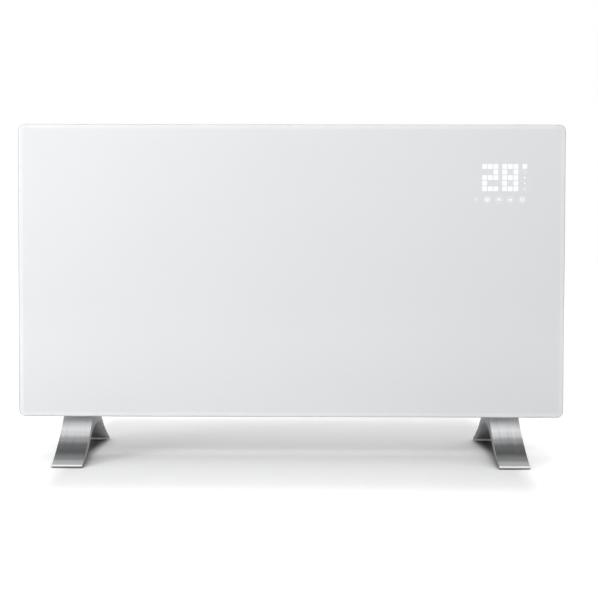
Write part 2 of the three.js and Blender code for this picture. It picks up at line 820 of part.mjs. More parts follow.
function switchHousing() {
  const bezel = block(caseHalfWidth + seatGap, switchFaceX, -switchBezelWidth / 2, switchBezelWidth / 2,
    switchZ - switchBezelHeight / 2, switchZ + switchBezelHeight / 2);
  const body = block(switchFaceX - switchBodyDepth, switchFaceX - switchBezelDepth / 4,
    -switchBodyWidth / 2, switchBodyWidth / 2,
    switchZ - switchBodyHeight / 2, switchZ + switchBodyHeight / 2);
  const wellDepth = rockerAxleDepth + rockerThickness + rockerSlack * 2;
  const well = block(switchFaceX - wellDepth, switchFaceX + 1, -switchWellHalfWidth, switchWellHalfWidth,
    switchZ - switchWellHalfHeight, switchZ + switchWellHalfHeight);
  const holeRadius = rockerAxleRadius + rockerAxleClearance;
  const holeReach = switchWellHalfWidth + rockerAxleReach + rockerAxleClearance;
  const axleHole = bar(holeRadius, 2 * holeReach, axisY, rockerAxisX, -holeReach, switchZ, 12);
  return cut(join(bezel, body), well, axleHole);
}

// Drawn level, with its axle on the origin and its face towards +x.
function switchRocker() {
  const halfHeight = switchWellHalfHeight - rockerSlack;
  const halfWidth = switchWellHalfWidth - rockerSlack;
  const faceX = rockerAxleDepth;
  const backX = faceX - rockerThickness;
  const paddle = sweepY(polygon([
    [backX, -halfHeight * 0.55],
    [backX + 1.5, -halfHeight],
    [faceX, -halfHeight],
    [faceX - rockerDip, 0],
    [faceX, halfHeight],
    [backX + 1.5, halfHeight],
    [backX, halfHeight * 0.55],
  ]), -halfWidth, halfWidth);
  const axleReach = switchWellHalfWidth + rockerAxleReach;
  const axle = bar(rockerAxleRadius, 2 * axleReach, axisY, 0, -axleReach, 0, 12);
  return join(paddle, axle);
}

// ---------------------------------------------------------------------------------------------
// Tip-over switch: a pendulum that hangs in a frame and turns about x
// ---------------------------------------------------------------------------------------------

const tiltAxleZ = chamberBottomZ + tiltHeight - tiltAxleDrop;

function tiltFrame() {
  const innerHalfWidth = tiltWidth / 2 - tiltWall;
  const outer = block(tiltX - tiltWidth / 2, tiltX + tiltWidth / 2, -tiltDepth / 2, tiltDepth / 2,
    chamberBottomZ, chamberBottomZ + tiltHeight);
  const inner = block(tiltX - innerHalfWidth, tiltX + innerHalfWidth, -tiltDepth, tiltDepth,
    chamberBottomZ + tiltWall, chamberBottomZ + tiltHeight - tiltWall);
  const reach = innerHalfWidth + tiltAxleReach + tiltAxleClearance;
  const axleHole = bar(tiltAxleRadius + tiltAxleClearance, 2 * reach, axisX, tiltX - reach, 0, tiltAxleZ, 12);
  const [stopDepth, stopHeight] = tiltStopSize;
  const stops = [-1, 1].map((side) => {
    const outerY = (side * tiltDepth) / 2;
    const innerY = outerY - side * stopDepth;
    return block(tiltX - tiltWidth / 2 + tiltWall / 2, tiltX + tiltWidth / 2 - tiltWall / 2,
      Math.min(outerY, innerY), Math.max(outerY, innerY),
      tiltAxleZ - tiltStopDrop - stopHeight, tiltAxleZ - tiltStopDrop);
  });
  return join(cut(outer, inner, axleHole), ...stops);
}

// Drawn hanging, with its axle on the origin.
function tiltPendulum() {
  const reach = tiltWidth / 2 - tiltWall + tiltAxleReach;
  const axle = bar(tiltAxleRadius, 2 * reach, axisX, -reach, 0, 0, 12);
  const arm = block(-tiltArmWidth / 2, tiltArmWidth / 2, -tiltArmWidth / 2, tiltArmWidth / 2,
    -tiltArmLength, tiltArmWidth / 2);
  const bob = bar(tiltBobRadius, tiltBobLength, axisX, -tiltBobLength / 2, 0, -tiltArmLength, 16);
  return join(arm, axle, bob);
}

// ---------------------------------------------------------------------------------------------
// Heating element and the sheets round it
// ---------------------------------------------------------------------------------------------

function heatShield() {
  const leftX = bracketX - bracketSheet - bracketFoot;
  const frontY = frontPlateBackY + seatGap;
  const bottomZ = chamberBottomZ + shieldEndMargin;
  const topZ = chamberTopZ - shieldEndMargin;
  return sweepX(polygon([
    [frontY, bottomZ],
    [shieldFaceY, bottomZ],
    [shieldFaceY, topZ],
    [frontY, topZ],
    [frontY, topZ - shieldSheet],
    [shieldFaceY - shieldSheet, topZ - shieldSheet],
    [shieldFaceY - shieldSheet, bottomZ + shieldSheet],
    [frontY, bottomZ + shieldSheet],
  ]), leftX, partitionX - seatGap);
}

// An extruded aluminium cross on a steel sheath, its four fins notched at even steps.
function heatingElement() {
  const cross = [];
  for (const quarter of [0, 1, 2, 3]) {
    const angle = (45 + 90 * quarter) * degrees;
    const half = elementFinThickness / 2;
    cross.push(block(finsLeftX, finsRightX, 0, elementFinReach, -half, half)
      .rotateX(angle)
      .translate(0, elementY, elementZ));
  }
  const core = bar(elementCoreRadius, finsRightX - finsLeftX, axisX, finsLeftX, elementY, elementZ, 16);
  const sheath = bar(sheathRadius, sheathRightX - sheathLeftX, axisX, sheathLeftX, elementY, elementZ, 16);
  const notches = spread(finsLeftX + elementNotchPitch, finsRightX - elementNotchPitch, elementNotchPitch)
    .map((x) => turned([
      [elementNotchRadius, 0],
      [elementFinReach + 2, 0],
      [elementFinReach + 2, elementNotchWidth],
      [elementNotchRadius, elementNotchWidth],
      [elementNotchRadius, 0],
    ], axisX, x - elementNotchWidth / 2, elementY, elementZ, 8));
  return cut(join(core, ...cross, sheath), mergeGeometries(notches));
}

// side is -1 for the bush whose shoulder faces left and 1 for the one that faces right.
function ceramicBush(side, plateX) {
  const bore = sheathRadius + seatGap;
  const body = ceramicRadius;
  const shoulder = ceramicRadius + ceramicShoulder;
  const axis = side > 0 ? axisX : axisX.clone().negate();
  return turned([
    [bore, -ceramicLength + ceramicShoulderLength],
    [body, -ceramicLength + ceramicShoulderLength],
    [body, 0],
    [shoulder, 0],
    [shoulder, ceramicShoulderLength],
    [bore, ceramicShoulderLength],
    [bore, -ceramicLength + ceramicShoulderLength],
  ], axis, plateX + side * seatGap, elementY, elementZ, 16);
}

function elementBracket() {
  const upright = block(bracketX - bracketSheet, bracketX,
    elementY - bracketHalfWidth, elementY + bracketHalfWidth, chamberBottomZ, elementZ + bracketAbove);
  const foot = block(bracketX - bracketSheet - bracketFoot, bracketX,
    elementY - bracketHalfWidth, elementY + bracketHalfWidth, chamberBottomZ, chamberBottomZ + bracketSheet);
  const fromX = bracketX - 3 * bracketSheet;
  const hole = bar(ceramicRadius + seatGap, 6 * bracketSheet, axisX, fromX, elementY, elementZ);
  return cut(join(upright, foot), hole);
}

function partitionPlate() {
  const cornerY = caseBackY - caseEdgeRadius;
  const corner = caseEdgeRadius - shellWall;
  const plate = sweepX(polygon([
    [chamberFrontY, chamberBottomZ],
    [cornerY, chamberBottomZ],
    [chamberBackY, chamberBottomZ + corner],
    [chamberBackY, chamberTopZ - corner],
    [cornerY, chamberTopZ],
    [chamberFrontY, chamberTopZ],
  ]), partitionX, partitionRightX);
  const from = partitionX - 2 * partitionSheet;
  const through = 5 * partitionSheet;
  return cut(
    plate,
    bar(ceramicRadius + seatGap, through, axisX, from, elementY, elementZ),
    bar(leadHoleRadius, through, axisX, from, leadY, leadZ, 12),
  );
}

// A bimetal disc in its housing, riveted to the heat shield by a flange.
function thermalCutout() {
  const x = partitionX - cutoutFromPartition;
  const z = elementZ + cutoutRise;
  const y = shieldFaceY + seatGap;
  const flange = block(x - cutoutFlange / 2, x + cutoutFlange / 2, y, y + cutoutFlangeSheet,
    z - cutoutRadius, z + cutoutRadius);
  const body = bar(cutoutRadius, cutoutBodyDepth, axisY, x, y, z, 16);
  const tab = (side) => block(x + side * 4 - 0.5, x + side * 4 + 0.5, y + cutoutBodyDepth - 1,
    y + cutoutBodyDepth + 7, z - 3, z + 3);
  return join(flange, body, tab(-1), tab(1));
}

// ---------------------------------------------------------------------------------------------
// Display and touch controls
// ---------------------------------------------------------------------------------------------

function displayCells() {
  const cells = [];
  const addCell = (x, z, size) => cells.push(block(
    x - size / 2, x + size / 2, lightBoxFrontY - 1, lightBoxBackY + 1, z - size / 2, z + size / 2,
  ));
  for (let row = 0; row < displayRows; row++) {
    const z = displayMiddleZ + ((displayRows - 1) / 2 - row) * displayCellPitch;
    for (const digitX of [displayFirstDigitX, displaySecondDigitX]) {
      for (let column = 0; column < displayDigitColumns; column++) {
        addCell(digitX + (column - (displayDigitColumns - 1) / 2) * displayCellPitch, z, displayCellSize);
      }
    }
    addCell(displayStatusX, z, row === 0 ? displayCellSize : displayStatusCell);
  }
  return cells;
}

// A block of square light cells, one for each lamp that shines through the glass.
function displayLightBox() {
  const body = block(
    displayLeftX - displayBoxMargin, displayRightX + displayBoxMargin, lightBoxFrontY, lightBoxBackY,
    displayTopZ - 2 * displayHalfHeight - displayBoxMargin, displayTopZ + displayBoxMargin,
  );
  return cut(body, mergeGeometries(displayCells()));
}

function displayBoard() {
  return block(boardLeftX, boardRightX, displayBoardFrontY, displayBoardBackY, boardBottomZ, boardTopZ);
}

function touchPad(index) {
  const x = touchFirstX + index * touchPitch;
  return bar(touchPadRadius, displayBoxDepth, axisY, x, lightBoxFrontY, touchRowZ, 16);
}

// A moulded tray behind the front plate's window, with a post under each corner of the board.
function displayCarrier() {
  const slack = seatGap;
  const left = boardLeftX - slack;
  const right = boardRightX + slack;
  const bottom = boardBottomZ - slack;
  const top = boardTopZ + slack;
  const shell = cut(
    block(boardLeftX - carrierBorder, boardRightX + carrierBorder, carrierFrontY, carrierBackY + carrierWall,
      carrierBottomZ, boardTopZ + carrierBorder),
    block(left, right, carrierFrontY - 1, carrierBackY, bottom, top),
    block(left + 3 * carrierPost, right - 3 * carrierPost, carrierBackY - 1, carrierBackY + carrierWall + 1,
      bottom + 2 * carrierPost, top - 2 * carrierPost),
  );
  const posts = [[left, bottom], [right, bottom], [left, top], [right, top]].map(([x, z]) => {
    const towardsX = x < (left + right) / 2 ? 1 : -1;
    const towardsZ = z < (bottom + top) / 2 ? 1 : -1;
    const xs = [x - towardsX, x + towardsX * carrierPost].sort((a, b) => a - b);
    const zs = [z - towardsZ, z + towardsZ * carrierPost].sort((a, b) => a - b);
    return block(xs[0], xs[1], displayBoardBackY + seatGap, carrierBackY + 1, zs[0], zs[1]);
  });
  return join(shell, ...posts);
}

function wirelessModule() {
  const x = (boardLeftX + boardRightX) / 2;
  const z = (boardBottomZ + boardTopZ) / 2 + carrierPost;
  const y = displayBoardBackY + seatGap;
  return block(x - wirelessWidth / 2, x + wirelessWidth / 2, y, y + wirelessDepth,
    z - wirelessHeight / 2, z + wirelessHeight / 2);
}

// ---------------------------------------------------------------------------------------------
// Power electronics
// ---------------------------------------------------------------------------------------------

const powerBoardLeftX = trayLeftX + trayWall + seatGap;
const powerBoardRightX = trayRightX - trayWall - seatGap;
const powerBoardBottomZ = trayBottomZ + trayWall + seatGap;
const powerBoardTopZ = trayTopZ - trayWall - seatGap;
const boardPartY = powerBoardBackY + seatGap;

function controlTray() {
  const shell = cut(
    block(trayLeftX, trayRightX, trayFrontY, trayFrontY + trayRim, trayBottomZ, trayTopZ),
    block(trayLeftX + trayWall, trayRightX - trayWall, trayFloorY, trayFrontY + trayRim + 1,
      trayBottomZ + trayWall, trayTopZ - trayWall),
  );
  const posts = [];
  for (const x of [powerBoardLeftX, powerBoardRightX - trayPost]) {
    for (const z of [powerBoardBottomZ, powerBoardTopZ - trayPost]) {
      posts.push(block(x, x + trayPost, trayFloorY - 1, trayFloorY + trayPostHeight, z, z + trayPost));
    }
  }
  return join(shell, ...posts);
}

function powerBoard() {
  return block(powerBoardLeftX, powerBoardRightX, powerBoardFrontY, powerBoardBackY,
    powerBoardBottomZ, powerBoardTopZ);
}

// A box-shaped component whose corner nearest the board's lower left is given.
function boardPart(size, x, z) {
  const [width, depth, height] = size;
  return block(x, x + width, boardPartY, boardPartY + depth, z, z + height);
}

const relayX = powerBoardLeftX + partMargin;
const relayZ = powerBoardBottomZ + terminalBlockSize[2] + 2 * partMargin;
const transformerX = powerBoardRightX - partMargin - transformerSize[0];
const capacitorX = relayX + capacitorRadius;
const capacitorZ = relayZ + relaySize[2] + partMargin + capacitorRadius;
const terminalX = powerBoardLeftX + partMargin;
const terminalZ = powerBoardBottomZ + partMargin;

function transformer() {
  const [width, depth, height] = transformerSize;
  const core = boardPart(transformerSize, transformerX, relayZ);
  const coilInset = 5;
  const coil = block(transformerX + coilInset, transformerX + width - coilInset,
    boardPartY + 1, boardPartY + depth + 3, relayZ - 3, relayZ + height + 3);
  return join(core, coil);
}

function terminalBlock() {
  const [width, depth, height] = terminalBlockSize;
  const body = boardPart(terminalBlockSize, terminalX, terminalZ);
  const holes = Array.from({ length: terminalWays }, (_, i) => bar(
    terminalHoleRadius, depth / 2 + 1, axisY,
    terminalX + (width * (i + 0.5)) / terminalWays, boardPartY + depth / 2, terminalZ + height / 2, 12,
  ));
  return cut(body, ...holes);
}

// A bead thermistor on a clip in the stream of room air at the bottom of the cool end.
function roomSensor() {
  const x = partitionRightX + sensorFromPartition;
  const clip = block(x - sensorClipWidth / 2, x + sensorClipWidth / 2,
    -sensorClipDepth / 2, sensorClipDepth / 2, chamberBottomZ, chamberBottomZ + sensorClipHeight);
  const bead = new THREE.SphereGeometry(sensorBeadRadius, 10, 8)
    .translate(x, 0, chamberBottomZ + sensorClipHeight + sensorBeadRadius / 2);
  return join(clip, bead);
}

// A flat cable from the back of the display board to the top of the power board, drawn in y and z.
function displayRibbon() {
  const middleX = (boardLeftX + boardRightX) / 2;
  const startY = displayBoardBackY + seatGap;
  const loopY = carrierBackY + carrierWall + ribbonLoop;
  const upperZ = boardBottomZ + 3 * carrierPost;
  const lowerZ = powerBoardTopZ - partMargin;
  const t = ribbonThickness;
  return sweepX(polygon([
    [startY, upperZ + t],
    [startY, upperZ],
    [loopY - t, upperZ],
    [loopY - t, lowerZ + t],
    [boardPartY, lowerZ + t],
    [boardPartY, lowerZ],
    [loopY, lowerZ],
    [loopY, upperZ + t],
  ]), middleX - ribbonWidth / 2, middleX + ribbonWidth / 2);
}

function terminalMouth(way) {
  const [width, depth] = terminalBlockSize;
  return [terminalX + (width * (way + 0.5)) / terminalWays, boardPartY + depth / 2, terminalZ - seatGap];
}

function rightElementLead() {
  const [x, y, z] = terminalMouth(1);
  const endX = sheathRightX + seatGap;
  return lead([
    [x, y, z],
    [x, y, z - 12],
    [x - 2, y + 8, z - 34],
    [x - 8, elementY - 4, elementZ + 14],
    [endX + 10, elementY, elementZ],
    [endX, elementY, elementZ],
  ]);
}

function leftElementLead() {
  const [x, y, z] = terminalMouth(0);
  const endX = sheathLeftX - seatGap;
  return lead([
    [x, y, z],
    [x, y, z - 12],
    [x + 1, (y + leadY) / 2, (z + leadZ) / 2],
    [x - 1, leadY, leadZ + 12],
    [partitionRightX + 8, leadY, leadZ],
    [partitionX - 12, leadY, leadZ],
    [partitionX / 2, leadY, leadZ],
    [bracketX / 2, leadY, leadZ],
    [bracketX + 20, leadY, leadZ],
    [endX - 4, leadY + 2, leadZ],
    [endX - 14, (leadY + elementY) / 2, (leadZ + elementZ) / 2],
    [endX - 8, elementY - 1, elementZ - 1],
    [endX, elementY, elementZ],
  ]);
}

function switchLead() {
  const [x, y, z] = terminalMouth(2);
  const startX = switchFaceX - switchBodyDepth - seatGap;
  return lead([
    [startX, 0, switchZ],
    [startX - 8, 0, switchZ],
    [startX - 20, y / 2, switchZ + 8],
    [x + 8, y, z - 26],
    [x, y, z - 10],
    [x, y, z],
  ]);
}

// ---------------------------------------------------------------------------------------------
// Feet
// ---------------------------------------------------------------------------------------------

// Half of the foot's side outline at the front, in y and z: the outer face down to the toe, the sole with
// the groove for its rubber strip, and the inner face up to the middle of the arch.
function footHalfOutline() {
  const toeY = -footDepth / 2;
  const toeTopZ = padProud + footToeHeight;
  const toeAngle = footToeAngle * degrees;
  const topAngle = Math.acos(Math.cos(toeAngle) - (footTopZ - toeTopZ) / footOuterRadius);
  const outer = slopeArc(toeY, toeTopZ, footOuterRadius, toeAngle, topAngle, 14).reverse();

  const soleEndY = toeY + footSoleLength;
  const grooveStartY = toeY + (footSoleLength - padWidth) / 2 - seatGap;
  const grooveEndY = toeY + (footSoleLength + padWidth) / 2 + seatGap;
  const grooveTopZ = padProud + padGroove + seatGap;

  const archAngle = footArchAngle * degrees;
  const archY = -footArchRadius * Math.sin(archAngle);
  const archZ = footArchHeight - footArchRadius * (1 - Math.cos(archAngle));
  const chord = Math.hypot(archY - soleEndY, archZ - toeTopZ);
  const chordAngle = Math.atan2(archZ - toeTopZ, archY - soleEndY);
  const innerAngle = 2 * chordAngle - archAngle;
  const innerRadius = chord / (2 * Math.sin((archAngle - innerAngle) / 2));
  const inner = slopeArc(soleEndY, toeTopZ, innerRadius, innerAngle, archAngle, 8);
  const arch = slopeArc(archY, archZ, -footArchRadius, archAngle, 0, 6);

  return [
    ...outer,
    [toeY, padProud],
    [grooveStartY, padProud],
    [grooveStartY, grooveTopZ],
    [grooveEndY, grooveTopZ],
    [grooveEndY, padProud],
    [soleEndY, padProud],
    ...inner,
    ...arch.slice(1),
  ];
}

function foot(side) {
  const front = footHalfOutline();
  const rear = front.slice(0, -1).map(([y, z]) => [-y, z]).reverse();
  const x0 = side * footCentreX - footWidth / 2;
  const body = sweepX(polygon([...front, ...rear]), x0, x0 + footWidth);
  const headPockets = footScrewPlaces(side).map(([x, y]) =>
    bar(footScrewHeadRadius + seatGap, footScrewSeat - padProud, axisZ, x, y, padProud, 16));
  return cut(body, ...footScrewHoles(side, padProud, footTopZ + 1), ...headPockets);
}

function footPad(side, end) {
  const x = side * footCentreX;
  const y = end * (footDepth / 2 - footSoleLength / 2);
  const halfLength = footWidth / 2 - padEndInset;
  return block(x - halfLength, x + halfLength, y - padWidth / 2, y + padWidth / 2, 0, padProud + padGroove);
}

// A socket-head screw, drawn from its head's underside upwards.
function footScrew(place) {
  const [x, y] = place;
  const bracketTopZ = chamberBottomZ + footBracketSheet;
  const shank = bracketTopZ + footScrewTail - footScrewSeat;
  const head = footScrewHeadHeight;
  const socket = footScrewHeadRadius * 0.55;
  return turned([
    [0, -head / 2],
    [socket, -head / 2],
    [socket, -head],
    [footScrewHeadRadius, -head],
    [footScrewHeadRadius, -seatGap],
    [footScrewRadius, -seatGap],
    [footScrewRadius, shank],
    [0, shank],
  ], axisZ, x, y, footScrewSeat, 16);
}

function footBracket(side) {
  const x = side * footCentreX;
  const plate = block(x - footBracketWidth / 2, x + footBracketWidth / 2, -footBracketDepth / 2,
    footBracketDepth / 2, chamberBottomZ, chamberBottomZ + footBracketSheet);
  return cut(plate, ...footScrewHoles(side, chamberBottomZ - 1, chamberBottomZ + footBracketSheet + 1));
}

// ---------------------------------------------------------------------------------------------
// Assembly
// ---------------------------------------------------------------------------------------------

const sides = [["left", -1], ["right", 1]];
const ends = [["front", -1], ["rear", 1]];

add("front_glass", frontGlass(), materials.whiteGlass);
add("glass_bond", glassBond(), materials.silicone);
add("front_plate", frontPlate(), materials.zincSteel);

add("top_grille", upperGrille(), materials.whitePlastic);
add("bottom_grille", lowerGrille(), materials.whitePlastic);
add("back_panel", backPanel(), materials.powderCoat);
add("cheek_left", leftCheek(), materials.whitePlastic);
add("cheek_right", rightCheekWithSwitchHole(), materials.whitePlastic);
backScrewPlaces().forEach(([x, z], i) => {
  add(`back_screw_${i + 1}`, backScrew(), materials.steel).position.set(x, backPanelOuterY, z);
});
add("cord_gland", cordGland(), materials.blackPlastic);

add("heat_shield", heatShield(), materials.aluminium);
add("heating_element", heatingElement(), materials.aluminium);
add("element_bracket", elementBracket(), materials.zincSteel);
add("partition_plate", partitionPlate(), materials.zincSteel);
add("ceramic_bush_left", ceramicBush(-1, bracketX - bracketSheet), materials.ceramic);
add("ceramic_bush_right", ceramicBush(1, partitionRightX), materials.ceramic);
add("thermal_cutout", thermalCutout(), materials.blackPlastic);
add("room_sensor", roomSensor(), materials.whitePlastic);

add("display_light_box", displayLightBox(), materials.whitePlastic);
add("display_board", displayBoard(), materials.circuitBoard);
touchNames.forEach((name, i) => add(`touch_pad_${name}`, touchPad(i), materials.rubber));
add("display_carrier", displayCarrier(), materials.whitePlastic);
add("wireless_module", wirelessModule(), materials.steel);

add("control_tray", controlTray(), materials.blackPlastic);
add("power_board", powerBoard(), materials.circuitBoard);
add("relay", boardPart(relaySize, relayX, relayZ), materials.blackPlastic);
add("transformer", transformer(), materials.copper);
add("capacitor", bar(capacitorRadius, capacitorLength, axisY, capacitorX, boardPartY, capacitorZ, 16),
  materials.blackPlastic);
add("terminal_block", terminalBlock(), materials.whitePlastic);
add("display_ribbon", displayRibbon(), materials.silicone);
add("lead_element_right", rightElementLead(), materials.leadSleeve);
add("lead_element_left", leftElementLead(), materials.leadSleeve);
add("lead_switch", switchLead(), materials.leadSleeve);

add("switch_housing", switchHousing(), materials.blackPlastic);
const rockerPivot = new THREE.Group();
rockerPivot.position.set(rockerAxisX, 0, switchZ);
rockerPivot.rotation.y = rockerTilt * degrees;
heater.add(rockerPivot);
add("switch_rocker", switchRocker(), materials.blackPlastic, rockerPivot);

add("tilt_switch_frame", tiltFrame(), materials.whitePlastic);
const pendulumPivot = new THREE.Group();
pendulumPivot.position.set(tiltX, 0, tiltAxleZ);
heater.add(pendulumPivot);
add("tilt_pendulum", tiltPendulum(), materials.darkSteel, pendulumPivot);

for (const [sideName, side] of sides) {
  add(`hanger_plate_${sideName}`, hangerPlate(side), materials.zincSteel);
  add(`foot_${sideName}`, foot(side), materials.aluminium);
  add(`foot_bracket_${sideName}`, footBracket(side), materials.zincSteel);
  ends.forEach(([endName, end], i) => {
    add(`foot_pad_${sideName}_${endName}`, footPad(side, end), materials.rubber);
    add(`foot_screw_${sideName}_${endName}`, footScrew(footScrewPlaces(side)[i]), materials.steel);
  });
}

export default heater;
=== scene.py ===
"""Looks of a glass-fronted panel convector heater on two aluminium feet.

Lengths are metres in the frame's own axes: +X to the right along the panel, +Y towards the wall, +Z up.
"""
import json
import math

import bpy
import bmesh
from mathutils import Matrix, Vector

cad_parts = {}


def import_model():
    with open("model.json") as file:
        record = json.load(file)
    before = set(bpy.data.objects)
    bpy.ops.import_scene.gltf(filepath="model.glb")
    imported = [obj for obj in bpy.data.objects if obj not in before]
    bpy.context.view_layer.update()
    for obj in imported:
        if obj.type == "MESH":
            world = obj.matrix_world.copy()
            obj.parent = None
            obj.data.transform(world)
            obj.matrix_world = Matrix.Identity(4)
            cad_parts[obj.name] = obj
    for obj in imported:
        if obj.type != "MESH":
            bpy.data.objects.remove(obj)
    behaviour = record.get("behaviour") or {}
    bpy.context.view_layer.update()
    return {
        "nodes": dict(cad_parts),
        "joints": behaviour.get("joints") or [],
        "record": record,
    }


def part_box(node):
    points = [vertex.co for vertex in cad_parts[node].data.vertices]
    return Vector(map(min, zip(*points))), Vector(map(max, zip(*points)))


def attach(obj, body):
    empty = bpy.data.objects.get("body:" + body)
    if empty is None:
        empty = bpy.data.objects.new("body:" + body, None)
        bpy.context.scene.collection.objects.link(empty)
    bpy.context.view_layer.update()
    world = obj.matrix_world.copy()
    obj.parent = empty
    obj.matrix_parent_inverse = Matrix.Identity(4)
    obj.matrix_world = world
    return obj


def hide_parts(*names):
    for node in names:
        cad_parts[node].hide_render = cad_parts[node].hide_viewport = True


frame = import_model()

MM = 0.001

# Camera, fitted to the corners of the glass and of the feet in the photograph
IMAGE_SIZE = 598
SENSOR_WIDTH = 36.0
FOCAL_PIXELS = 1088.5
PRINCIPAL_POINT = (287.36, 265.35)
CAMERA_PLACE = (0.0063, -1.7363, 0.3487)
CAMERA_PITCH = 0.02755
CAMERA_YAW = -0.00719
CAMERA_ROLL = -0.00203
CAMERA_CLIP_END = 50.0

# World: its strength as a light, and as it is seen and mirrored
WORLD_DIFFUSE = 0.10
WORLD_SEEN = 1.0

# Floor: its colour, and the glow that keeps it white in the open, outside the heater's painted shade and far
# away
FLOOR_HALF_WIDTH = 9.0
FLOOR_COLOR = (0.75, 0.75, 0.753)
FLOOR_LIFT_OPEN = 0.312
FLOOR_LIFT_SIDE = 0.32
FLOOR_LIFT_FAR = 0.36
FLOOR_FAR_SPAN = (0.9, 3.2)
# How far up the floor looks for cover, for the wide soft shade painted into its glow and for the dark line of
# contact shade painted into its colour
FLOOR_OPEN_REACH = 0.25
FLOOR_OPEN_POWER = 2.0
FLOOR_CONTACT_REACH = 0.05
FLOOR_CONTACT_SPAN = (0.42, 0.88)
FLOOR_CONTACT_TONES = (0.62, 1.0)
FLOOR_COVER_SAMPLES = 8
# The painted soft shadow on the ground below the heater: its middle and half sizes along x and y, and the
# width of its soft edge
SHADE_MIDDLE = (0.0, 0.0175)
SHADE_HALF_SIZE = (0.325, 0.2225)
SHADE_FADE = (0.045, 0.17)
# The painted shadow on the ground under a foot: how it fades across the foot's inner and outer side, and past
# its toes
FOOT_SHADOW_INNER_SPAN = (-0.0160, 0.0060)
FOOT_SHADOW_OUTER_SPAN = (-0.0080, 0.0020)
FOOT_SHADOW_TONES = (0.22, 1.0)
FOOT_SHADOW_ENDS = (0.100, 0.125)

# Lamps: name, place, size along x and y, power, point aimed at
LAMPS = [
    ("key", (-2.2, -1.5, 0.9), (1.2, 1.2), 35.0, (0.0, 0.0, 0.25)),
    ("front", (0.0, -2.0, 2.2), (2.4, 1.2), 41.0, (0.0, 0.0, 0.0)),
    ("overhead", (0.0, 1.2, 2.6), (2.4, 1.2), 23.6, (0.0, 0.0, 0.0)),
    ("rear", (0.5, 2.6, 1.3), (1.8, 1.2), 18.0, (0.0, 0.0, 0.25)),
    ("right", (2.6, 0.4, 1.2), (1.2, 1.2), 8.0, (0.0, 0.0, 0.25)),
]

# Shading: the angles past which an edge stays sharp or is rounded, and below which faces are one flat face
SHARP_ANGLE = math.radians(32)
GLASS_SHARP_ANGLE = math.radians(30)
SCREW_SHARP_ANGLE = math.radians(35)
ROUNDED_ANGLE = math.radians(40)
FLAT_ANGLE = math.radians(0.4)
# How far the edges of these solids are rounded, in millimetres, and the edges of all others
EDGE_ROUNDING = {
    "cheek_left": 0.5, "cheek_right": 0.5,
    "top_grille": 0.45, "bottom_grille": 0.45,
    "back_panel": 0.18,
    "hanger_plate_left": 0.3, "hanger_plate_right": 0.3,
    "cord_gland": 0.35,
    "switch_housing": 0.35, "switch_rocker": 0.3,
    "tilt_pendulum": 0.3, "tilt_switch_frame": 0.3,
}
FINE_ROUNDING = 0.2

# Glass
GLASS_COLOR = (0.80, 0.81, 0.825)
GLASS_CORNER_RADIUS = 10 * MM
GLASS_LEAST_RADIUS = 1 * MM
GLASS_CORNER_STEPS = 14
# Inset from the edge and depth behind the face, from the face to the back: polished slope, then round arris
GLASS_SLOPE = [(7.2, 0.0), (5.4, 0.02), (3.8, 0.06), (2.5, 0.12), (1.5, 0.20)]
GLASS_ARRIS = [(1.0, 0.45), (0.5, 0.95), (0.15, 1.5), (0.0, 2.1), (0.0, 3.9), (0.2, 4.5), (0.8, 5.0)]
# The painted shade on the rim's left side: where it fades out, in from the edge, and its tones at two heights
RIM_SHADE_SPAN = (1.5 * MM, 7.0 * MM)
RIM_SHADE_HEIGHTS = (100 * MM, 520 * MM)
RIM_SHADE_TONES = (0.40, 0.82)

# Feet, in millimetres and degrees, as the solids have them
FOOT_TOP = 72.7
FOOT_HALF_DEPTH = 120.0
FOOT_SOLE_BOTTOM = 0.8
FOOT_SOLE_TOP = 3.6
FOOT_SOLE_LENGTH = 13.5
FOOT_TOE_ANGLE = 23.5
FOOT_OUTER_RADIUS = 300.0
FOOT_OUTER_STEPS = 40
FOOT_INNER_STEPS = 20
FOOT_ARCH_HEIGHT = 47.5
FOOT_ARCH_RADIUS = 85.0
FOOT_ARCH_ANGLE = 35.0
FOOT_ARCH_STEPS = 24
FOOT_GROOVE_HALF_WIDTH = 4.05
FOOT_GROOVE_TOP = 2.5
FOOT_CHAMFER_REACH = 2.4
FOOT_CHAMFER_DROP = 0.75
FOOT_ROUNDING = 0.35
FOOT_SCREW_HALF_SPACING = 11.0
# The screws' way up through the foot, a wide pocket and a narrow hole: radius, lowest and highest point
FOOT_BORES = ((4.7, 10.0, 56.0), (2.7, 50.0, 80.0))
# Share of the foot's height, and the painted light and shade of the brushed face there: painted reflections,
# dark across the leg's lower middle and bright above and below it
FOOT_PAINTED_SHADING = [
    (0.0, 0.75), (0.10, 0.52), (0.16, 0.28), (0.26, 0.14), (0.36, 0.18), (0.46, 0.40),
    (0.56, 0.76), (0.64, 0.90), (0.72, 0.80), (0.80, 0.78), (1.0, 0.70),
]

# Display, measured on the glass; the light box behind it has cells of its own size
CELL_PITCH = 8.67 * MM
CELL_SIZE = 7.25 * MM
CELL_CORNER = 0.5 * MM
BOX_MARGIN = 2.2 * MM
BOX_CELL_SIZE = 7.3 * MM
BOX_CELL_PITCH = 8.7 * MM
DIGIT_PITCH = 31.0 * MM
DEGREE_SHIFT = 22.4 * MM
DIGITS_SHOWN = "28"
DIGIT_ROWS = {
    "2": ("111", "001", "111", "100", "111"),
    "8": ("111", "101", "111", "101", "111"),
}
# How far a lit plate stands out of the glass, and how far it goes in
LIT_PROUD = 0.05 * MM
LIT_SUNK = 2 * LIT_PROUD
# How strongly the dimmer marks glow
DIM_LIGHTS = {"clear": 0.19, "faint": 0.13, "ring": 0.20, "cog": 0.30}

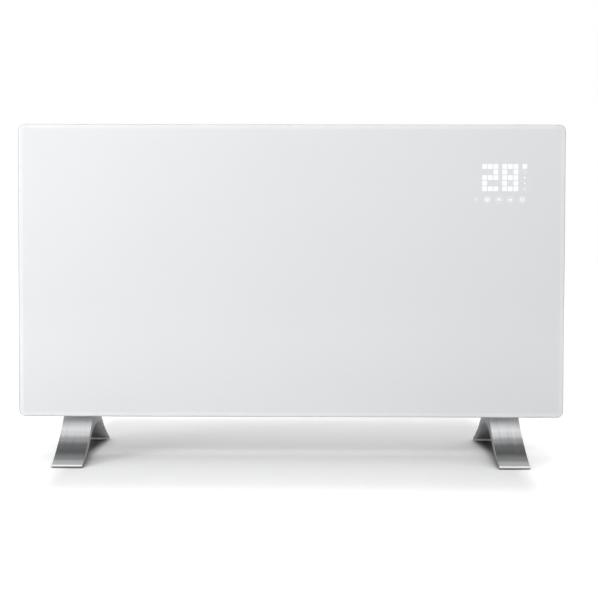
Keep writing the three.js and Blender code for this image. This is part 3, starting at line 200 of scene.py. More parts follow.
# Marks beside the digits and on the touch pads, in millimetres from each mark's centre
HEATING_DOT_RADIUS = 1.6
TIMER_DOT_RADIUS = 1.5
WINDOW_HALF_SIZE = (2.0, 1.8)
WINDOW_CORNER = 0.5
SHIELD = [
    (0, -3.0), (-2.2, -1.4), (-3.0, 0.6), (-2.6, 2.4), (-1.2, 2.9),
    (0, 2.4), (1.2, 2.9), (2.6, 2.4), (3.0, 0.6), (2.2, -1.4),
]
SHIELD_HOLE_SHARE = 0.72
HALO_RADII = (5.4, 4.85)
HALO_STEPS = 48
MODE_RADII = (3.2, 0.95)
ARROW = [
    (0, 3.1), (-1.0, 2.5), (-2.8, -0.1), (-2.7, -1.2), (-1.7, -1.6),
    (1.7, -1.6), (2.7, -1.2), (2.8, -0.1), (1.0, 2.5),
]
COG_RADIUS = 3.1
COG_TOOTH = 0.5
COG_TEETH = 8
COG_BORE = 1.6
COG_STEPS = 64
WIRELESS_SHIFT = 17.8
WIRELESS_FAN = [
    (0.9, -2.8), (1.0, -0.6), (3.2, 1.6), (2.9, 2.6),
    (-2.9, 2.6), (-3.2, 1.6), (-1.0, -0.6), (-0.9, -2.8),
]

# Back screws and wall plate rivets, in millimetres: radius and distance along the axis
SCREW_SHANK = 8.0
SCREW_PROFILE = [
    (1.9, -SCREW_SHANK), (1.9, 0.3), (3.8, 0.3), (3.8, 0.9), (3.55, 1.5), (3.0, 2.0), (2.1, 2.35), (1.0, 2.5),
]
# The cross recess: width and reach of its arms, its bottom and its open end, and how far it narrows
RECESS_WIDTH = 0.95
RECESS_REACH = 4.4
RECESS_DEPTHS = (0.6, 2.8)
RECESS_TIP_SHARE = 0.45
RIVET_PROFILE = [(1.7, -1.0), (1.7, 0.05), (2.6, 0.05), (2.55, 0.35), (2.1, 0.75), (1.2, 1.0), (0.4, 1.08)]
RIVET_STEPS = 28
RIVET_INSET = 6 * MM

# Rocker: its dished face, tilted as at rest, and the marks on it
ROCKER_FACE = 3.4 * MM
ROCKER_DIP = 1.3 * MM
ROCKER_HALF_HEIGHT = 8.85 * MM
ROCKER_TILT = math.radians(9)
MARK_RISE = 0.12 * MM
MARK_SINK = 0.3 * MM
MARK_SHIFT = 4.6 * MM
ON_BAR_HALF_SIZE = (0.35 * MM, 1.9 * MM)
ON_BAR_CORNER = 0.2 * MM
OFF_RING_RADII = (1.9 * MM, 1.35 * MM)
OFF_RING_STEPS = 36


# ----------------------------------------------------------------------------------------------
# Node trees
# ----------------------------------------------------------------------------------------------

class Tree:
    """The nodes of one material or world."""

    def __init__(self, owner):
        owner.use_nodes = True
        self.nodes = owner.node_tree.nodes
        self.links = owner.node_tree.links

    def node(self, kind, inputs=None, **settings):
        """A new node. Each input is a plain value or the socket that feeds it."""
        made = self.nodes.new(kind)
        for key, value in settings.items():
            setattr(made, key, value)
        for key, value in (inputs or {}).items():
            if isinstance(value, bpy.types.NodeSocket):
                self.links.new(value, made.inputs[key])
            else:
                made.inputs[key].default_value = value
        return made

    def math(self, operation, first, second=0.0):
        return self.node("ShaderNodeMath", {0: first, 1: second}, operation=operation).outputs[0]

    def scaled(self, color, factor):
        """A colour times a number that varies over the surface."""
        made = self.node("ShaderNodeVectorMath", {0: color, "Scale": factor}, operation="SCALE")
        return made.outputs["Vector"]

    def between(self, value, low, high, start=0.3, end=0.7, blend="LINEAR"):
        """low up to where the value is start, then rising or falling to high where it is end."""
        inputs = {"Value": value, "From Min": start, "From Max": end, "To Min": low, "To Max": high}
        return self.node("ShaderNodeMapRange", inputs, interpolation_type=blend).outputs["Result"]

    def step(self, value, span, tones=(0.0, 1.0)):
        """A smooth step from one tone to the other over a span of the value."""
        return self.between(value, *tones, *span, blend="SMOOTHSTEP")

    def seen_rays(self):
        """1 for camera, glossy and transmission rays, else 0."""
        path = self.node("ShaderNodeLightPath")
        seen = path.outputs["Is Camera Ray"]
        for name in ("Is Glossy Ray", "Is Transmission Ray"):
            seen = self.math("MAXIMUM", seen, path.outputs[name])
        return seen


class Surface(Tree):
    """One procedural material, built around its Principled shader."""

    def __init__(self, name, roughness=0.5, metallic=0.0, specular=0.5):
        self.material = bpy.data.materials.new(name)
        super().__init__(self.material)
        self.shader = self.nodes["Principled BSDF"]
        self.shader.inputs["Roughness"].default_value = roughness
        self.shader.inputs["Metallic"].default_value = metallic
        self.shader.inputs["Specular IOR Level"].default_value = specular
        self.place = self.node("ShaderNodeTexCoord").outputs["Object"]
        self.normal = None

    def along(self, axis):
        """Where a point is along one of the frame's axes."""
        return self.node("ShaderNodeSeparateXYZ", {"Vector": self.place}).outputs[axis]

    def noise(self, scale, stretch=(1, 1, 1), detail=3.0):
        place = self.node("ShaderNodeMapping", {"Vector": self.place, "Scale": stretch}).outputs["Vector"]
        inputs = {"Vector": place, "Scale": scale, "Detail": detail}
        return self.node("ShaderNodeTexNoise", inputs).outputs["Fac"]

    def color(self, color, factor):
        self.links.new(self.scaled(color, factor), self.shader.inputs["Base Color"])

    def rough(self, value):
        self.links.new(value, self.shader.inputs["Roughness"])

    def bump(self, height, depth):
        """Adds a bump on top of those before it."""
        inputs = {"Height": height, "Distance": depth}
        if self.normal:
            inputs["Normal"] = self.normal
        self.normal = self.node("ShaderNodeBump", inputs).outputs["Normal"]
        self.links.new(self.normal, self.shader.inputs["Normal"])

    def glow(self, color, strength):
        self.shader.inputs["Emission Color"].default_value = (*color, 1.0)
        self.shader.inputs["Emission Strength"].default_value = strength


# ----------------------------------------------------------------------------------------------
# Materials
# ----------------------------------------------------------------------------------------------

def white_glass():
    s = Surface("white_glass", roughness=0.06)
    s.color(GLASS_COLOR, s.between(s.noise(3.0), 0.992, 1.008))
    s.rough(s.between(s.noise(9.0, detail=4), 0.045, 0.085))
    s.bump(s.noise(5.0, stretch=(0.35, 1, 1), detail=1), 0.10 * MM)
    return s.material


def glass_enamel_back():
    s = Surface("glass_enamel_back", roughness=0.5, specular=0.4)
    s.color((0.74, 0.75, 0.76), s.between(s.noise(40.0), 0.96, 1.03))
    s.rough(s.between(s.noise(220.0), 0.42, 0.6))
    s.bump(s.noise(900.0), 0.02 * MM)
    return s.material


def polished_slope():
    s = Surface("polished_slope", roughness=0.04, specular=0.8)
    # Painted highlight: the slope is a lighter copy of the glass's white, for the light the polished bevel
    # catches.
    s.color((0.86, 0.87, 0.88), s.between(s.noise(60.0), 0.985, 1.01))
    s.rough(s.between(s.noise(300.0), 0.03, 0.07))
    return s.material


def ground_edge():
    """The glass's ground rim. Its left side carries painted shade, darkest low down, as photographed."""
    s = Surface("ground_edge", roughness=0.3, specular=0.6)
    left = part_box("front_glass")[0].x
    side_start, side_end = RIM_SHADE_SPAN
    # Painted shade: the rim's colour is darkened towards its left side, more so low down.
    painted_side_shade = s.between(s.along("Z"), *RIM_SHADE_TONES, *RIM_SHADE_HEIGHTS)
    painted_shading = s.between(s.along("X"), painted_side_shade, 1.0, start=left + side_start, end=left + side_end)
    s.color((0.69, 0.70, 0.705), s.math("MULTIPLY", s.between(s.noise(60.0), 0.97, 1.03), painted_shading))
    s.rough(s.between(s.noise(700.0), 0.25, 0.42))
    s.bump(s.noise(1500.0), 0.008 * MM)
    return s.material


def brushed_foot():
    """Anodised aluminium brushed down the leg, with painted reflections by height, a dark band across the
    leg's middle and bright bands above and below it, as photographed.
    """
    s = Surface("brushed_foot", metallic=1.0)
    fine = s.noise(2600.0, stretch=(1, 0.012, 0.012), detail=2)
    coarse = s.noise(480.0, stretch=(1, 0.02, 0.02), detail=3)
    height = s.math("DIVIDE", s.along("Z"), FOOT_TOP * MM)
    height = s.math("ADD", height, s.between(coarse, -0.012, 0.012))
    # Painted light and shade: a ramp by height of painted dark and bright reflections down the leg.
    painted_shading = s.node("ShaderNodeValToRGB", {"Fac": height})
    ramp = painted_shading.color_ramp
    ramp.interpolation = "EASE"
    while len(ramp.elements) < len(FOOT_PAINTED_SHADING):
        ramp.elements.new(0.5)
    for element, (position, value) in zip(ramp.elements, FOOT_PAINTED_SHADING):
        element.position = position
        element.color = (value, value, value, 1.0)
    streaks = s.math("MULTIPLY", s.between(coarse, 0.95, 1.05), s.between(fine, 0.95, 1.04))
    s.color((0.985, 0.99, 1.0), s.math("MULTIPLY", streaks, painted_shading.outputs["Color"]))
    s.rough(s.between(fine, 0.50, 0.60))
    s.bump(fine, 0.008 * MM)
    s.bump(coarse, 0.012 * MM)
    grain = s.node("ShaderNodeTangent", direction_type="RADIAL", axis="X")
    s.links.new(grain.outputs["Tangent"], s.shader.inputs["Tangent"])
    s.shader.inputs["Anisotropic"].default_value = 0.3
    return s.material


def sawn_foot():
    """The cut ends of the extrusion: finely milled and duller than the brushed face. Their low colour is
    partly that milled finish and partly painted shade, and it is painted lighter at the front and darker to
    the rear.
    """
    s = Surface("sawn_foot", metallic=1.0)
    strokes = s.noise(900.0, stretch=(1, 1, 0.05), detail=2)
    # Painted light and shade along y: lighter towards the front, darker towards the rear.
    painted_shading = s.between(s.along("Y"), 1.35, 0.52, start=-70 * MM, end=-15 * MM)
    s.color((0.20, 0.203, 0.212), s.math("MULTIPLY", s.between(strokes, 0.93, 1.06), painted_shading))
    s.rough(s.between(strokes, 0.34, 0.46))
    s.bump(strokes, 0.008 * MM)
    return s.material


def polished_chamfer():
    s = Surface("polished_chamfer", metallic=1.0)
    strokes = s.noise(1200.0, stretch=(0.05, 1, 1), detail=2)
    s.color((0.90, 0.905, 0.91), s.between(strokes, 0.97, 1.02))
    s.rough(s.between(strokes, 0.12, 0.2))
    return s.material


def milled_lip():
    """The sole's milled end under the arch, rough enough to take in the light from both sides."""
    s = Surface("milled_lip", metallic=1.0)
    strokes = s.noise(900.0, stretch=(0.05, 1, 1), detail=2)
    s.color((0.92, 0.925, 0.935), s.between(strokes, 0.95, 1.03))
    s.rough(s.between(strokes, 0.72, 0.86))
    s.bump(strokes, 0.008 * MM)
    return s.material


def extruded_foot():
    """The inside of the arch, left as extruded."""
    s = Surface("extruded_foot", metallic=1.0)
    lines = s.noise(700.0, stretch=(0.01, 1, 1), detail=3)
    s.color((0.56, 0.565, 0.58), s.between(lines, 0.9, 1.08))
    s.rough(s.between(lines, 0.50, 0.64))
    s.bump(lines, 0.012 * MM)
    return s.material


def powder_coat():
    s = Surface("powder_coat", roughness=0.5)
    s.color((0.80, 0.81, 0.815), s.between(s.noise(700.0), 0.985, 1.01))
    s.rough(s.between(s.noise(420.0), 0.42, 0.56))
    s.bump(s.noise(850.0, detail=2), 0.045 * MM)
    return s.material


def moulded(name, color, texture_depth, low, high):
    s = Surface(name)
    clouds = s.between(s.noise(30.0), 0.985, 1.01)
    specks = s.between(s.noise(1600.0), 0.98, 1.02)
    s.color(color, s.math("MULTIPLY", clouds, specks))
    s.rough(s.between(s.noise(500.0), low, high))
    s.bump(s.noise(1500.0, detail=2), texture_depth)
    return s.material


def sheet_metal(name, color, low, high, stretch=(1, 1, 1)):
    s = Surface(name, metallic=1.0)
    grain = s.noise(500.0, stretch=stretch)
    s.color(color, s.between(grain, 0.9, 1.08))
    s.rough(s.between(grain, low, high))
    s.bump(grain, 0.01 * MM)
    return s.material


def drawn_aluminium(name, color, low, high):
    """Sheet metal with its grain along the panel."""
    return sheet_metal(name, color, low, high, stretch=(0.02, 1, 1))


def zinc_plate():
    s = Surface("zinc_plate", metallic=1.0)
    spangle = s.node("ShaderNodeTexVoronoi", {"Vector": s.place, "Scale": 210.0}).outputs["Color"]
    s.color((0.55, 0.57, 0.58), s.between(spangle, 0.84, 1.08, start=0.0, end=1.0))
    s.rough(s.between(s.noise(600.0), 0.3, 0.48))
    return s.material


def rubber(name, color):
    s = Surface(name, specular=0.3)
    s.color(color, s.between(s.noise(300.0), 0.85, 1.15))
    s.rough(s.between(s.noise(900.0), 0.7, 0.9))
    s.bump(s.noise(1800.0), 0.03 * MM)
    return s.material


def circuit_board():
    s = Surface("circuit_board", roughness=0.4)
    tracks = s.node("ShaderNodeTexBrick", {"Vector": s.place, "Scale": 190.0}).outputs["Fac"]
    s.color((0.03, 0.16, 0.07), s.between(tracks, 0.8, 1.9, start=0.0, end=1.0))
    s.bump(tracks, 0.03 * MM)
    return s.material


def ceramic():
    s = Surface("ceramic", roughness=0.6, specular=0.4)
    s.color((0.80, 0.77, 0.69), s.between(s.noise(250.0), 0.94, 1.04))
    s.rough(s.between(s.noise(800.0), 0.5, 0.7))
    return s.material


def copper_winding():
    s = Surface("copper_winding", metallic=1.0)
    coil = s.node("ShaderNodeTexWave", {"Vector": s.place, "Scale": 600.0}, bands_direction="Z")
    turns = coil.outputs["Fac"]
    s.color((0.50, 0.22, 0.10), s.between(turns, 0.6, 1.1, start=0.0, end=1.0))
    s.rough(s.between(turns, 0.3, 0.5, start=0.0, end=1.0))
    return s.material


def lit(name, color, strength):
    s = Surface(name, roughness=0.2)
    s.color(color, s.between(s.noise(1200.0), 0.98, 1.02))
    s.rough(s.between(s.noise(600.0), 0.15, 0.25))
    s.glow((0.97, 0.985, 1.0), strength)
    return s.material


SLOT_MATERIALS = {
    "white_glass": white_glass(),
    "silicone": rubber("silicone", (0.66, 0.67, 0.69)),
    "zinc_steel": zinc_plate(),
    "powder_coat": powder_coat(),
    "case_plastic": moulded("case_plastic", (0.79, 0.80, 0.805), 0.035 * MM, 0.40, 0.52),
    "screw_steel": sheet_metal("screw_steel", (0.46, 0.47, 0.49), 0.25, 0.4),
    "black_plastic": moulded("black_plastic", (0.022, 0.022, 0.024), 0.04 * MM, 0.42, 0.58),
    "rocker_plastic": moulded("rocker_plastic", (0.02, 0.02, 0.022), 0.008 * MM, 0.2, 0.3),
    "plain_aluminium": drawn_aluminium("plain_aluminium", (0.62, 0.63, 0.65), 0.3, 0.45),
    "element_aluminium": drawn_aluminium("element_aluminium", (0.45, 0.455, 0.46), 0.4, 0.6),
    "foot_aluminium": brushed_foot(),
    "ceramic": ceramic(),
    "display_light": lit("display_light", (0.30, 0.31, 0.32), 0.74),
    "circuit_board": circuit_board(),
    "touch_rubber": rubber("touch_rubber", (0.05, 0.05, 0.055)),
    "copper_winding": copper_winding(),
    "lead_sleeve": rubber("lead_sleeve", (0.42, 0.05, 0.035)),
    "pendulum_steel": sheet_metal("pendulum_steel", (0.12, 0.125, 0.13), 0.4, 0.55),
    "pad_rubber": rubber("pad_rubber", (0.07, 0.07, 0.075)),
}


# ----------------------------------------------------------------------------------------------
# Mesh helpers
# ----------------------------------------------------------------------------------------------

def smooth_by_angle():
    """Geometry nodes that shade a mesh smooth but keep its edges sharp past an angle."""
    tree = bpy.data.node_groups.new("smooth_by_angle", "GeometryNodeTree")
    tree.interface.new_socket("Geometry", in_out="INPUT", socket_type="NodeSocketGeometry")
    tree.interface.new_socket("Geometry", in_out="OUTPUT", socket_type="NodeSocketGeometry")
    tree.is_modifier = True
    start = tree.nodes.new("NodeGroupInput")
    faces = tree.nodes.new("GeometryNodeSetShadeSmooth")
    edges = tree.nodes.new("GeometryNodeSetShadeSmooth")
    edges.domain = "EDGE"
    edges.inputs["Shade Smooth"].default_value = False
    angle = tree.nodes.new("GeometryNodeInputMeshEdgeAngle")
    past = tree.nodes.new("FunctionNodeCompare")
    past.data_type = "FLOAT"
    past.operation = "GREATER_THAN"
    past.inputs["B"].default_value = SHARP_ANGLE
    end = tree.nodes.new("NodeGroupOutput")
    tree.links.new(start.outputs[0], faces.inputs["Geometry"])
    tree.links.new(faces.outputs["Geometry"], edges.inputs["Geometry"])
    tree.links.new(angle.outputs["Unsigned Angle"], past.inputs["A"])
    tree.links.new(past.outputs["Result"], edges.inputs["Selection"])
    tree.links.new(edges.outputs["Geometry"], end.inputs[0])
    return tree


SMOOTH = smooth_by_angle()


def add_bevel(piece, width):
    bevel = piece.modifiers.new("edges", "BEVEL")
    bevel.width = width
    bevel.segments = 2
    bevel.limit_method = "ANGLE"
    bevel.angle_limit = ROUNDED_ANGLE
    bevel.miter_outer = "MITER_ARC"


def add_smooth(piece):
    piece.modifiers.new("smooth", "NODES").node_group = SMOOTH


def new_object(name, data):
    """An object in the scene's own collection."""
    made = bpy.data.objects.new(name, data)
    bpy.context.scene.collection.objects.link(made)
    return made


def new_mesh(name, vertices, faces, materials=(), face_materials=None):
    """A mesh with all its faces turned outwards."""
    mesh = bpy.data.meshes.new(name)
    mesh.from_pydata(vertices, [], faces)
    for material in materials:
        mesh.materials.append(material)
    if face_materials:
        mesh.polygons.foreach_set("material_index", face_materials)
    work = bmesh.new()
    work.from_mesh(mesh)
    bmesh.ops.recalc_face_normals(work, faces=work.faces)
    work.to_mesh(mesh)
    work.free()
    return mesh


def add_piece(name, mesh, body="case"):
    """A new object in the frame's metres, riding on a body."""
    piece = new_object(name, mesh)
    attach(piece, body)
    return piece


def ring_faces(ring_count, ring_length, joined=False):
    """Quads between equal rings, with an n-gon over each end or the last ring joined to the first."""
    faces = []
    for k in range(ring_count if joined else ring_count - 1):
        near = k * ring_length
        far = ((k + 1) % ring_count) * ring_length
        for i in range(ring_length):
            j = (i + 1) % ring_length
            faces.append((near + i, near + j, far + j, far + i))
    if not joined:
        last = (ring_count - 1) * ring_length
        faces.append(tuple(range(ring_length)))
        faces.append(tuple(last + i for i in reversed(range(ring_length))))
    return faces


def shifted(faces, start):
    """Faces whose points come later in a mesh by a number of points."""
    return [tuple(start + i for i in face) for face in faces]


def rounded_outline(half_width, half_height, radius, steps):
    """Points of a rectangle with round corners, centred on the origin."""
    points = []
    for quarter, (sx, sz) in enumerate(((1, 1), (-1, 1), (-1, -1), (1, -1))):
        for i in range(steps + 1):
            angle = math.radians(90 * quarter + 90 * i / steps)
            points.append((sx * (half_width - radius) + radius * math.cos(angle),
                           sz * (half_height - radius) + radius * math.sin(angle)))
    return points


def circle(radius, steps=32):
    return [(radius * math.cos(2 * math.pi * i / steps), radius * math.sin(2 * math.pi * i / steps))
            for i in range(steps)]


def moved(outline, x, z):
    return [(x + u, z + v) for u, v in outline]


def in_millimetres(outline):
    return [(u * MM, v * MM) for u, v in outline]


def carve(piece, cutter, self_join=False):
    """Cuts one mesh out of another and deletes the cutter."""
    boolean = piece.modifiers.new("carve", "BOOLEAN")
    boolean.operation = "DIFFERENCE"
    boolean.solver = "EXACT"
    boolean.use_self = self_join
    boolean.object = cutter
    carved = bpy.data.meshes.new_from_object(piece.evaluated_get(bpy.context.evaluated_depsgraph_get()))
    piece.modifiers.clear()
    piece.data = carved
    bpy.data.objects.remove(cutter)


def lathe(profile, steps=40):
    """Vertices and faces of a turned solid about +Y, from pairs of radius and distance."""
    vertices = []
    for radius, along in profile:
        vertices += [(radius * MM * math.cos(2 * math.pi * i / steps), along * MM,
                      radius * MM * math.sin(2 * math.pi * i / steps)) for i in range(steps)]
    return vertices, ring_faces(len(profile), steps)


# ----------------------------------------------------------------------------------------------
# CAD nodes: finish, fine edge rounding and smooth shading
# ----------------------------------------------------------------------------------------------

def dress_nodes():
    for entry in frame["record"]["subparts"]:
        node = frame["nodes"][entry["node"]]
        material = SLOT_MATERIALS[entry["material_slot"]]
        node.data.materials.clear()
        node.data.materials.append(material)
        flat = node.modifiers.new("flat_faces", "DECIMATE")
        flat.decimate_type = "DISSOLVE"
        flat.angle_limit = FLAT_ANGLE
        add_bevel(node, EDGE_ROUNDING.get(entry["node"], FINE_ROUNDING) * MM)
        add_smooth(node)


# ----------------------------------------------------------------------------------------------
# Glass front with its polished slope
# ----------------------------------------------------------------------------------------------

FACE, SLOPE, RIM, BACK = range(4)


def glass_front():
    """The glass pane in place of its plain solid. Gives the y of its face."""
    low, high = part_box("front_glass")
    centre = (low + high) / 2
    half_width = (high.x - low.x) / 2
    half_height = (high.z - low.z) / 2
    profile = GLASS_SLOPE + GLASS_ARRIS
    vertices = []
    for inset, depth in profile:
        radius = max(GLASS_CORNER_RADIUS - inset * MM, GLASS_LEAST_RADIUS)
        outline = rounded_outline(half_width - inset * MM, half_height - inset * MM,
                                  radius, GLASS_CORNER_STEPS)
        vertices += [(centre.x + u, low.y + depth * MM, centre.z + v) for u, v in outline]
    ring = 4 * (GLASS_CORNER_STEPS + 1)
    bands = len(profile) - 1
    slope_bands = len(GLASS_SLOPE) - 1
    face_finishes = [SLOPE] * (slope_bands * ring) + [RIM] * ((bands - slope_bands) * ring) + [FACE, BACK]
    finishes = [SLOT_MATERIALS["white_glass"], polished_slope(), ground_edge(), glass_enamel_back()]
    mesh = new_mesh("glass_pane", vertices, ring_faces(len(profile), ring), finishes, face_finishes)
    mesh.shade_smooth()
    mesh.set_sharp_from_angle(angle=GLASS_SHARP_ANGLE)
    # The edges round the front face and round the back stay sharp, so that the large faces shade flat.
    first = set(range(ring))
    last = set(range(bands * ring, (bands + 1) * ring))
    for edge in mesh.edges:
        ends = set(edge.vertices)
        if ends <= first or ends <= last:
            edge.use_edge_sharp = True
    piece = add_piece("glass_pane", mesh)
    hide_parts("front_glass")
    return low.y


# ----------------------------------------------------------------------------------------------
# Display and touch symbols, each a thin lit plate on the face of the glass
# ----------------------------------------------------------------------------------------------

def mark_lights():
    lights = {name: lit(f"display_{name}", GLASS_COLOR, strength) for name, strength in DIM_LIGHTS.items()}
    lights["bright"] = SLOT_MATERIALS["display_light"]
    return lights


def plates(name, face_y, light, outlines=(), holed=()):
    """Thin plates from outlines in x and z. holed has pairs of an outline and its hole, with equal points."""
    front_y = face_y - LIT_PROUD
    back_y = face_y + LIT_SUNK
    solids = [[(outline, front_y), (outline, back_y)] for outline in outlines]
    solids += [[(outer, front_y), (hole, front_y), (hole, back_y), (outer, back_y)] for outer, hole in holed]
    vertices = []
    faces = []
    for rings in solids:
        tube = len(rings) > 2
        faces += shifted(ring_faces(len(rings), len(rings[0][0]), joined=tube), len(vertices))
        vertices += [(x, y, z) for outline, y in rings for x, z in outline]
    add_piece(name, new_mesh(name, vertices, faces, [light]))


def display(face_y, lights):
    """The digits, and the column of status marks to their right."""
    low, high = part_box("display_light_box")
    first_x = low.x + BOX_MARGIN + BOX_CELL_SIZE / 2 + BOX_CELL_PITCH
    middle_z = (low.z + high.z) / 2
    rows = [middle_z + (2 - row) * CELL_PITCH for row in range(5)]
    cell = rounded_outline(CELL_SIZE / 2, CELL_SIZE / 2, CELL_CORNER, 3)
    digits = []
    for place, digit in enumerate(DIGITS_SHOWN):
        for z, pattern in zip(rows, DIGIT_ROWS[digit]):
            for column, lamp in enumerate(pattern):
                if lamp == "1":
                    x = first_x + place * DIGIT_PITCH + (column - 1) * CELL_PITCH
                    digits.append(moved(cell, x, z))
    plates("display_digits", face_y, lights["bright"], digits)

    x = first_x + DIGIT_PITCH + DEGREE_SHIFT
    heating_dot = circle(HEATING_DOT_RADIUS * MM)
    timer_dot = circle(TIMER_DOT_RADIUS * MM)
    window = rounded_outline(WINDOW_HALF_SIZE[0] * MM, WINDOW_HALF_SIZE[1] * MM, WINDOW_CORNER * MM, 3)
    shield = in_millimetres(SHIELD)
    shield_hole = [(u * SHIELD_HOLE_SHARE, v * SHIELD_HOLE_SHARE) for u, v in shield]
    plates("display_degree_mark", face_y, lights["bright"], [moved(cell, x, rows[0])])
    plates("display_heating_dot", face_y, lights["bright"], [moved(heating_dot, x, rows[2])])
    plates("display_timer_dot", face_y, lights["clear"], [moved(timer_dot, x, rows[3])])
    plates("display_window_mark", face_y, lights["faint"], [moved(window, x, rows[4])])
    plates("display_lock_mark", face_y, lights["faint"],
           holed=[(moved(shield, x, rows[1]), moved(shield_hole, x, rows[1]))])


def pad_centre(name):
    low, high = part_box(name)
    return (low.x + high.x) / 2, (low.z + high.z) / 2


def touch_symbols(face_y, lights):
    """A halo and a symbol on each touch pad, and the wireless mark to the left of the first."""
    mode, up, down, timer = [pad_centre(f"touch_pad_{name}") for name in ("mode", "up", "down", "timer")]

    halo, halo_hole = [circle(radius * MM, HALO_STEPS) for radius in HALO_RADII]
    plates("touch_halos", face_y, lights["ring"],
           holed=[(moved(halo, *pad), moved(halo_hole, *pad)) for pad in (mode, up, down, timer)])

    ring, ring_hole = [circle(radius * MM) for radius in MODE_RADII]
    plates("touch_mode_ring", face_y, lights["bright"], holed=[(moved(ring, *mode), moved(ring_hole, *mode))])

    arrow = in_millimetres(ARROW)
    arrow_down = [(u, -v) for u, v in reversed(arrow)]
    plates("touch_up_arrow", face_y, lights["bright"], [moved(arrow, *up)])
    plates("touch_down_arrow", face_y, lights["bright"], [moved(arrow_down, *down)])

    cog = []
    for i in range(COG_STEPS):
        angle = 2 * math.pi * i / COG_STEPS
        radius = (COG_RADIUS + COG_TOOTH * math.cos(COG_TEETH * angle)) * MM
        cog.append((radius * math.cos(angle), radius * math.sin(angle)))
    bore = circle(COG_BORE * MM, COG_STEPS)
    plates("touch_timer_cog", face_y, lights["cog"], holed=[(moved(cog, *timer), moved(bore, *timer))])

    fan = in_millimetres(WIRELESS_FAN)
    plates("wireless_mark", face_y, lights["faint"], [moved(fan, mode[0] - WIRELESS_SHIFT * MM, mode[1])])


# ----------------------------------------------------------------------------------------------
# Feet: the solid's side outline with finer arcs, a chamfer along the toe and a finish for each face
# ----------------------------------------------------------------------------------------------

EXTRUDED, BRUSHED, SAWN, CHAMFER, LIP = range(5)


def slope_arc(y, z, radius, start, end, steps):
    """Points along an arc from a point, turning from one slope to another."""
    points = []
    for i in range(steps + 1):
        angle = start + (end - start) * i / steps
        points.append((y + radius * (math.sin(angle) - math.sin(start)),
                       z + radius * (math.cos(start) - math.cos(angle))))
    return points


def foot_half_outline():
    """The front half from the top down to the toe and back up to the arch's middle, as y, z and finish."""
    toe_y = -FOOT_HALF_DEPTH
    toe_angle = math.radians(FOOT_TOE_ANGLE)
    top_angle = math.acos(math.cos(toe_angle) - (FOOT_TOP - FOOT_SOLE_TOP) / FOOT_OUTER_RADIUS)
    chamfer_angle = toe_angle + FOOT_CHAMFER_REACH / FOOT_OUTER_RADIUS
    start_y, start_z = slope_arc(toe_y, FOOT_SOLE_TOP, FOOT_OUTER_RADIUS, toe_angle, chamfer_angle, 1)[1]
    outer = slope_arc(start_y, start_z, FOOT_OUTER_RADIUS, chamfer_angle, top_angle, FOOT_OUTER_STEPS)[::-1]
    sole_end = toe_y + FOOT_SOLE_LENGTH
    groove = toe_y + FOOT_SOLE_LENGTH / 2
    arch_angle = math.radians(FOOT_ARCH_ANGLE)
    arch_y = -FOOT_ARCH_RADIUS * math.sin(arch_angle)
    arch_z = FOOT_ARCH_HEIGHT - FOOT_ARCH_RADIUS * (1 - math.cos(arch_angle))
    chord = math.hypot(arch_y - sole_end, arch_z - FOOT_SOLE_TOP)
    chord_angle = math.atan2(arch_z - FOOT_SOLE_TOP, arch_y - sole_end)
    inner_angle = 2 * chord_angle - arch_angle
    inner_radius = chord / (2 * math.sin((arch_angle - inner_angle) / 2))
    inner = slope_arc(sole_end, FOOT_SOLE_TOP, inner_radius, inner_angle, arch_angle, FOOT_INNER_STEPS)
    arch = slope_arc(arch_y, arch_z, -FOOT_ARCH_RADIUS, arch_angle, 0, FOOT_ARCH_STEPS)
    outline = [(y, z, BRUSHED) for y, z in outer[:-1]]
    outline += [(*outer[-1], CHAMFER),
                (toe_y, FOOT_SOLE_TOP - FOOT_CHAMFER_DROP, SAWN),
                (toe_y, FOOT_SOLE_BOTTOM, EXTRUDED),
                (groove - FOOT_GROOVE_HALF_WIDTH, FOOT_SOLE_BOTTOM, EXTRUDED),
                (groove - FOOT_GROOVE_HALF_WIDTH, FOOT_GROOVE_TOP, EXTRUDED),
                (groove + FOOT_GROOVE_HALF_WIDTH, FOOT_GROOVE_TOP, EXTRUDED),
                (groove + FOOT_GROOVE_HALF_WIDTH, FOOT_SOLE_BOTTOM, EXTRUDED),
                (sole_end, FOOT_SOLE_BOTTOM, LIP)]
    outline += [(y, z, EXTRUDED) for y, z in inner + arch[1:]]
    return outline


def foot_outline():
    """The front half and its mirror image. A point's finish is that of the face from it to the next point."""
    *front, (middle_y, middle_z, _) = foot_half_outline()
    rear = [(-y, z) for y, z, _ in reversed(front)]
    # A mirrored face starts where its twin ends. The last face closes the top.
    rear_finishes = [finish for _, _, finish in reversed(front)] + [EXTRUDED]
    return front + [(y, z, finish) for (y, z), finish in zip([(middle_y, middle_z)] + rear, rear_finishes)]


def screw_pockets(centre_x):
    """One mesh of the stepped holes that the foot's screws go up through."""
    pocket = bmesh.new()
    for end in (-1, 1):
        for radius, low, high in FOOT_BORES:
            middle = Vector((centre_x, end * FOOT_SCREW_HALF_SPACING * MM, (low + high) / 2 * MM))
            bmesh.ops.create_cone(pocket, cap_ends=True, segments=40, radius1=radius * MM,
                                  radius2=radius * MM, depth=(high - low) * MM,
                                  matrix=Matrix.Translation(middle))
    mesh = bpy.data.meshes.new("pockets")
    pocket.to_mesh(mesh)
    pocket.free()
    return new_object("pockets", mesh)


